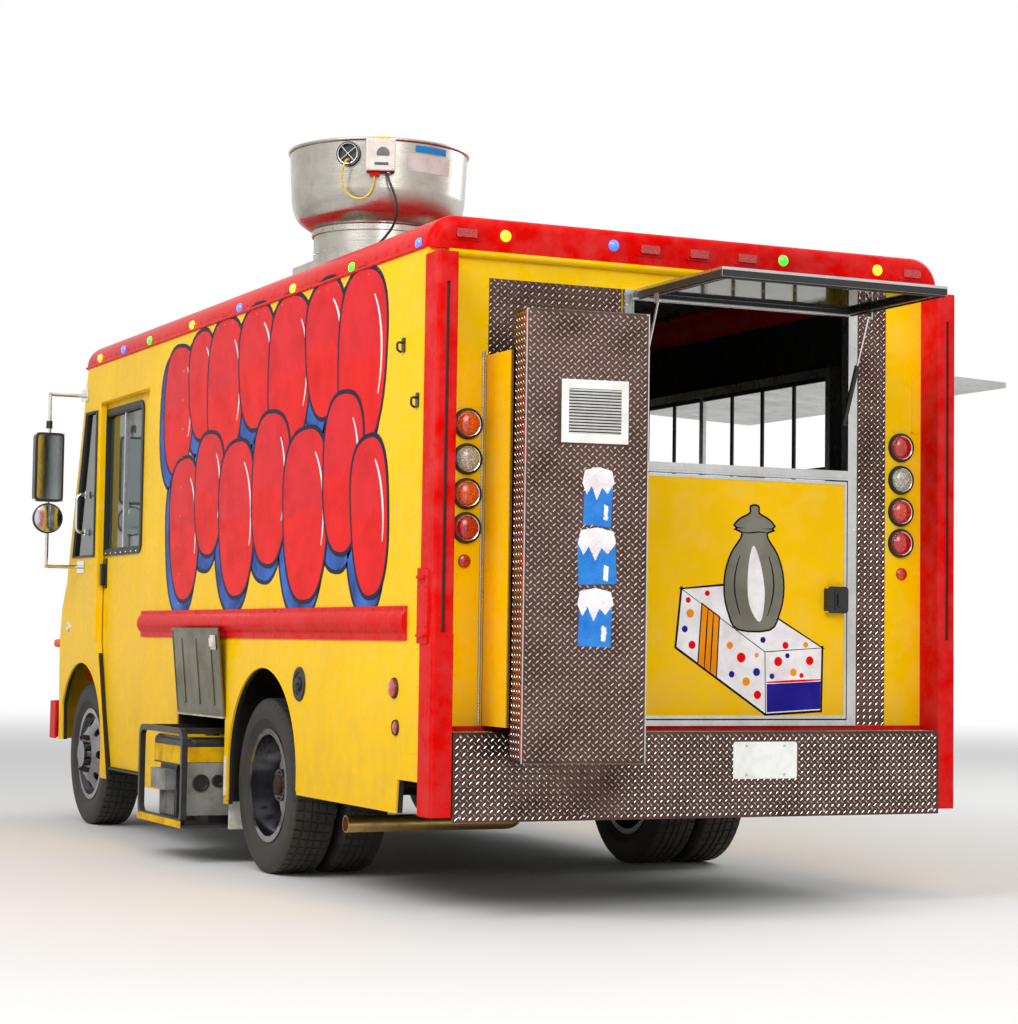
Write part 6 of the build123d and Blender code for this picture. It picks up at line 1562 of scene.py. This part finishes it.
block(set_plates, (1.335, -1.13, 0.205), (1.3375, -0.89, 0.325))
for step in range(9):
    block(set_plates, (1.337, -1.12 + step * 0.0262, 0.21), (1.344, -1.108 + step * 0.0262, 0.32))
block(set_plates, (1.316, -1.116, 0.334), (1.3915, -0.876, 0.434))
piece("generator_panels", set_plates, "generator", "stainless", set_grey, bevel=0.002)
tray_edge = bmesh.new()
block(tray_edge, (1.419, -1.244, 0.1725), (1.4225, -0.51, 0.206))
for y in (-1.2, -0.877, -0.555):
    rod(tray_edge, (1.422, y, 0.189), (1.427, y, 0.189), 0.009, 6)
piece("generator_tray_edge", tray_edge, "generator", "body_yellow", set_yellow, bevel=0.001)
FLAP_LEAN = radians(5.5)
flap_up = Vector((sin(FLAP_LEAN), 0, cos(FLAP_LEAN)))
flap_out = Vector((cos(FLAP_LEAN), 0, -sin(FLAP_LEAN)))
flap_face = face_at(Vector((1.224, 0, 0.702)) + flap_out * 0.003, (0, 1, 0), flap_up, flap_out)
FLAP = (-1.214, -0.47, 0.006, 0.433)
flap_trim = bmesh.new()
for y in (FLAP[0] + 0.14, FLAP[0] + 0.372, FLAP[0] + 0.604):
    plate(flap_trim, rounded_box(y - 0.014, y + 0.014, FLAP[2] + 0.05, FLAP[3] - 0.05, 0.012), -0.001, 0.004,
          flap_face)
gasket(flap_trim, rectangle(*FLAP), flap_face, -0.014, 0.0005, -0.001, 0.003)
for step in range(12):
    rivet(flap_trim, FLAP[0] + 0.03 + step * 0.062, FLAP[3] - 0.02, flap_face, 0.004)
piece("flap_ribs", flap_trim, "generator_flap", "stainless", flap_steel, bevel=0.0015)
flap_white = flat_paint("flap_white", rgb(226, 224, 214), rgb(190, 182, 164), 12, 0.4)
flap_latch = bmesh.new()
block(flap_latch, (-0.56, 0.33, 0.002), (-0.51, 0.4, 0.016), flap_face)
block(flap_latch, (-0.548, 0.345, 0.016), (-0.522, 0.386, 0.026), flap_face)
piece("flap_latch", flap_latch, "generator_flap", "lamp_clear", flap_white, bevel=0.002)
flap_hinge = bmesh.new()
for step in range(24):
    rod(flap_hinge, (1.224, -1.242 + step * 0.0315, 0.702), (1.224, -1.214 + step * 0.0315, 0.702), 0.0055, 8)
piece("flap_hinge_beads", flap_hinge, "body", "bright_metal", flap_white)


# Mirrors: black moulded heads with flat glass and a round wide-view glass below, on chromed tube arms that
# are clamped to the wall.
dress(chrome, "mirrors")
mirror_glass = worn_metal("mirror_glass", rgb(206, 212, 216), rgb(180, 184, 186), 0.15, 0.03)
for side, sign in (("left", 1), ("right", -1)):
    head = bmesh.new()
    centre_x = sign * 1.4175
    rear_of = face_at((centre_x, -3.262, 0), *BACKWARD)
    plate(head, rounded_box(-0.0855, 0.0855, 1.868, 2.272, 0.03), -0.0305, 0.029, rear_of)
    gasket(head, rounded_box(-0.076, 0.076, 1.878, 2.262, 0.024), rear_of, -0.004, 0.007, 0.028, 0.034)
    turned(head, [(0, -0.034), (0.05, -0.031), (0.078, -0.018), (0.0885, 0.004), (0.0885, 0.026), (0.082, 0.031),
                  (0.08, 0.027)], shifted(rear_of, 0, 1.77), 40)
    for up in (1.82, 2.32):
        rod(head, (centre_x, -3.262, up - 0.022), (centre_x, -3.262, up + 0.022), 0.0185, 16)
    piece("mirror_head_" + side, head, "body", "plastic_black", plastic_black, bevel=0.004)
    glass = bmesh.new()
    plate(glass, rounded_box(-0.0745, 0.0745, 1.8795, 2.2605, 0.022), 0.0285, 0.03, rear_of)
    turned(glass, [(0, 0.0335), (0.03, 0.0325), (0.06, 0.0295), (0.0805, 0.027)], shifted(rear_of, 0, 1.77), 40)
    piece("mirror_glass_" + side, glass, "body", "chrome", mirror_glass)


# Left wall fixings: two black hooks, the fuel filler in its rubber cup, and the hinge and bracket plates
# by the generator bay. The right wall has the serving hatch in their place.
hooks = bmesh.new()
for y, z in ((1.706, 2.281), (1.863, 2.044)):
    plate(hooks, rounded_box(y - 0.016, y + 0.016, z - 0.03, z + 0.03, 0.008), -0.001, 0.006, left_wall)
    along_path(hooks, bent([(WALL_X + proud, y, z + rise) for proud, rise in (
        (0.004, 0.01), (0.03, 0.01), (0.03, -0.022), (0.012, -0.03))], 0.01), 0.005, 10)
piece("wall_hooks", hooks, "body", "plastic_black", plastic_black, bevel=0.001)
filler = shifted(left_wall, 0.551, 0.886)
cup = bmesh.new()
turned(cup, [(0.05, 0.0015), (0.052, 0.006), (0.062, 0.01), (0.074, 0.008), (0.078, -0.001)], filler, 40)
turned(cup, [(0, 0.0035), (0.051, 0.0015)], filler, 40)
turned(cup, [(0, 0.018), (0.02, 0.018), (0.03, 0.014), (0.033, 0.002)], filler, 32)
block(cup, (-0.024, -0.005, 0.016), (0.024, 0.005, 0.026), filler)
piece("fuel_filler", cup, "body", "plastic_black", rubber_black, bevel=0.001)
bay_plates = bmesh.new()
block(bay_plates, (-0.478, 0.33, -0.001), (-0.452, 0.52, 0.006), left_wall)
block(bay_plates, (-1.29, 0.33, -0.001), (-1.272, 0.52, 0.004), left_wall)
block(bay_plates, (1.06, -0.4975, 0.166), (1.1855, -0.4825, 0.3))
for z in (0.36, 0.425, 0.49):
    rivet(bay_plates, -0.465, z, shifted(left_wall, 0, 0, 0.006), 0.006, 0.003)
piece("bay_edge_plates", bay_plates, "body", "lamp_clear", flap_white, bevel=0.001)


# Springs and tank straps: packs of five steel leaves clamped to each axle by U-bolts, and the two bands that
# hold the fuel tank to the frame.
tank_straps = bmesh.new()
for y in (0.86, 1.08):
    for x0, x1, z0, z1 in ((-0.303, 0.153, 0.457, 0.46), (-0.303, -0.3, 0.457, 0.69), (0.15, 0.153, 0.457, 0.69)):
        block(tank_straps, (x0, y - 0.018, z0), (x1, y + 0.018, z1))
piece("fuel_tank_straps", tank_straps, "body", "iron", iron)
springs = bmesh.new()
# Springs: axle, reach of the top leaf, how much shorter each leaf is, top, pitch, thickness, U-bolt's ends
SPRINGS = ((0, 0.56, 0.095, 0.451, 0.009, 0.008, 0.4, 0.5),
           (FRONT_AXLE_Y, 0.44, 0.08, 0.394, 0.008, 0.007, 0.33, 0.44))
for middle in (0.43, -0.43):
    for axle_y, longest, shorter, top, pitch, thick, low, high in SPRINGS:
        for leaf in range(5):
            reach = longest - leaf * shorter
            block(springs, (middle - 0.034, axle_y - reach, top - pitch * leaf - thick),
                  (middle + 0.034, axle_y + reach, top - pitch * leaf))
        for y in (axle_y - 0.052, axle_y + 0.052):
            for x in (middle - 0.044, middle + 0.044):
                rod(springs, (x, y, low), (x, y, high), 0.008, 8)
piece("spring_leaves", springs, "body", "iron", iron)


# Kitchen, floor and cab inside: steel benches and a hood in a body with an aluminium lining, with a tread floor.
# Seen only through the windows, so the steel, the floor and the linings are painted dull and dark as painted shade of
# the inside.
# Painted shade: the kitchen steel and the floor metal are dark grey for the shade inside the body.
kitchen_steel_painted_shade = worn_metal("kitchen_steel_painted_shade", rgb(96, 94, 90), rgb(52, 48, 44), 0.6, 0.34, (0.05, 1, 1))
floor_metal_painted_shade = worn_metal("floor_metal_painted_shade", rgb(88, 84, 80), rgb(44, 40, 36), 0.8, 0.45)
dress(kitchen_steel_painted_shade, "kitchen")
dress(floor_metal_painted_shade, "floor")
dress(black_paint, "cab_fittings")
# Painted shade: the inside faces of the walls, the skirts round the wheels, the roof cap and the cab doors turn dark
# grey.
INSIDE_SHADE_GREY = rgb(52, 50, 48)


painted_inside_shade, given, gives = shader_group(
    "painted_inside_shade", (("Paint", "Color", YELLOW), ("Low", "Vector", (0, 0, 0)), ("High", "Vector", (1, 1, 1))),
    (("Colour", "Color"),))
at, low, high = (node(painted_inside_shade, "SeparateXYZ", {0: place}).outputs
                 for place in (node(painted_inside_shade, "TexCoord").outputs["Object"], given["Low"], given["High"]))
within = sums(painted_inside_shade, "MULTIPLY",
              *(node(painted_inside_shade, "Math", {0: at[axis], 1: bound[axis]}, operation=operation).outputs[0]
                for axis in range(3) for bound, operation in ((low, "GREATER_THAN"), (high, "LESS_THAN"))))
painted_inside_shade.links.new(mix_colour(painted_inside_shade, within, given["Paint"], INSIDE_SHADE_GREY), gives["Colour"])


def shade_inside_faces(material, low, high):
    """Paint the faces of a material that lie within a box dark grey, as painted shade of the body's inside."""
    tree = material.node_tree
    shader = next(made for made in tree.nodes if made.type == "BSDF_PRINCIPLED")
    paint = shader.inputs["Base Color"].links[0].from_socket
    inside_shade_node = node(tree, "Group", {"Paint": paint, "Low": low, "High": high}, node_tree=painted_inside_shade)
    tree.links.new(inside_shade_node.outputs["Colour"], shader.inputs["Base Color"])


shade_inside_faces(wall_paint, (-1.1856, -3.2, 0.5), (1.1856, 1.9065, 2.7))
shade_inside_faces(wall_paint, (-1.207, -3.59, 0.1), (1.207, 1.93, 0.99))
shade_inside_faces(red_paint, (-1.06, -3.13, 2.6), (1.06, 1.88, 2.778))
shade_inside_faces(cab_door_paint, (-1.151, -4.0, 0.0), (1.151, 2.0, 3.0))


# Serving side: a wide window with an aluminium frame and dark sliding-pane bars, under a stainless hatch
# with a bright rim that two gas struts hold open over the kerb.
dress(bright_metal, "serving_window")
dress(stainless, "serving_hatch")
SERVING_X, SERVING = -1.17, (-1.254, 1.126, 1.49, 2.35)
panes = bmesh.new()
for y in (-0.955, -0.66, -0.365, 0.235, 0.53, 0.825):
    block(panes, (SERVING_X - 0.006, y - 0.011, SERVING[2]), (SERVING_X + 0.006, y + 0.011, SERVING[3]))
for z0, z1 in ((SERVING[2], SERVING[2] + 0.022), (SERVING[3] - 0.022, SERVING[3]), (1.905, 1.925)):
    block(panes, (SERVING_X - 0.007, SERVING[0], z0), (SERVING_X + 0.007, SERVING[1], z1))
piece("serving_pane_bars", panes, "body", "plastic_black", plastic_black, bevel=0.002)
DROOP = radians(2.5)
serving_out = Vector((-cos(DROOP), 0, -sin(DROOP)))
serving_up = Vector((-sin(DROOP), 0, cos(DROOP)))
serving_face = face_at(Vector((-1.229, 0, 2.39)) + serving_up * 0.025, (0, 1, 0), serving_out, serving_up)
hatch_rim = bmesh.new()
gasket(hatch_rim, rectangle(-1.284, 1.156, 0.0053, 0.9353), serving_face, -0.022, 0.0005, -0.001, 0.002)
for step in range(20):
    rivet(hatch_rim, -1.26 + step * 0.126, 0.92, shifted(serving_face, 0, 0, 0.002), 0.005, 0.002)
for y in (-0.48, 0.35):
    plate(hatch_rim, rounded_box(y - 0.018, y + 0.018, 0.04, 0.9, 0.014), -0.001, 0.004, serving_face)
piece("serving_hatch_rim", hatch_rim, "serving_hatch", "stainless", stainless, bevel=0.001)
window_frame = bmesh.new()
gasket(window_frame, rectangle(-1.264, 1.136, 1.48, 2.36), right_wall, 0.0, 0.03, -0.001, 0.004)
for step in range(20):
    rivet(window_frame, -1.25 + step * 0.1245, 1.465, shifted(right_wall, 0, 0, 0.004), 0.004, 0.002)
block(window_frame, (-1.24, 1.44, 0.000), (1.11, 1.449, 0.018), right_wall)
piece("serving_window_trim", window_frame, "body", "bright_metal", bright_metal, bevel=0.001)
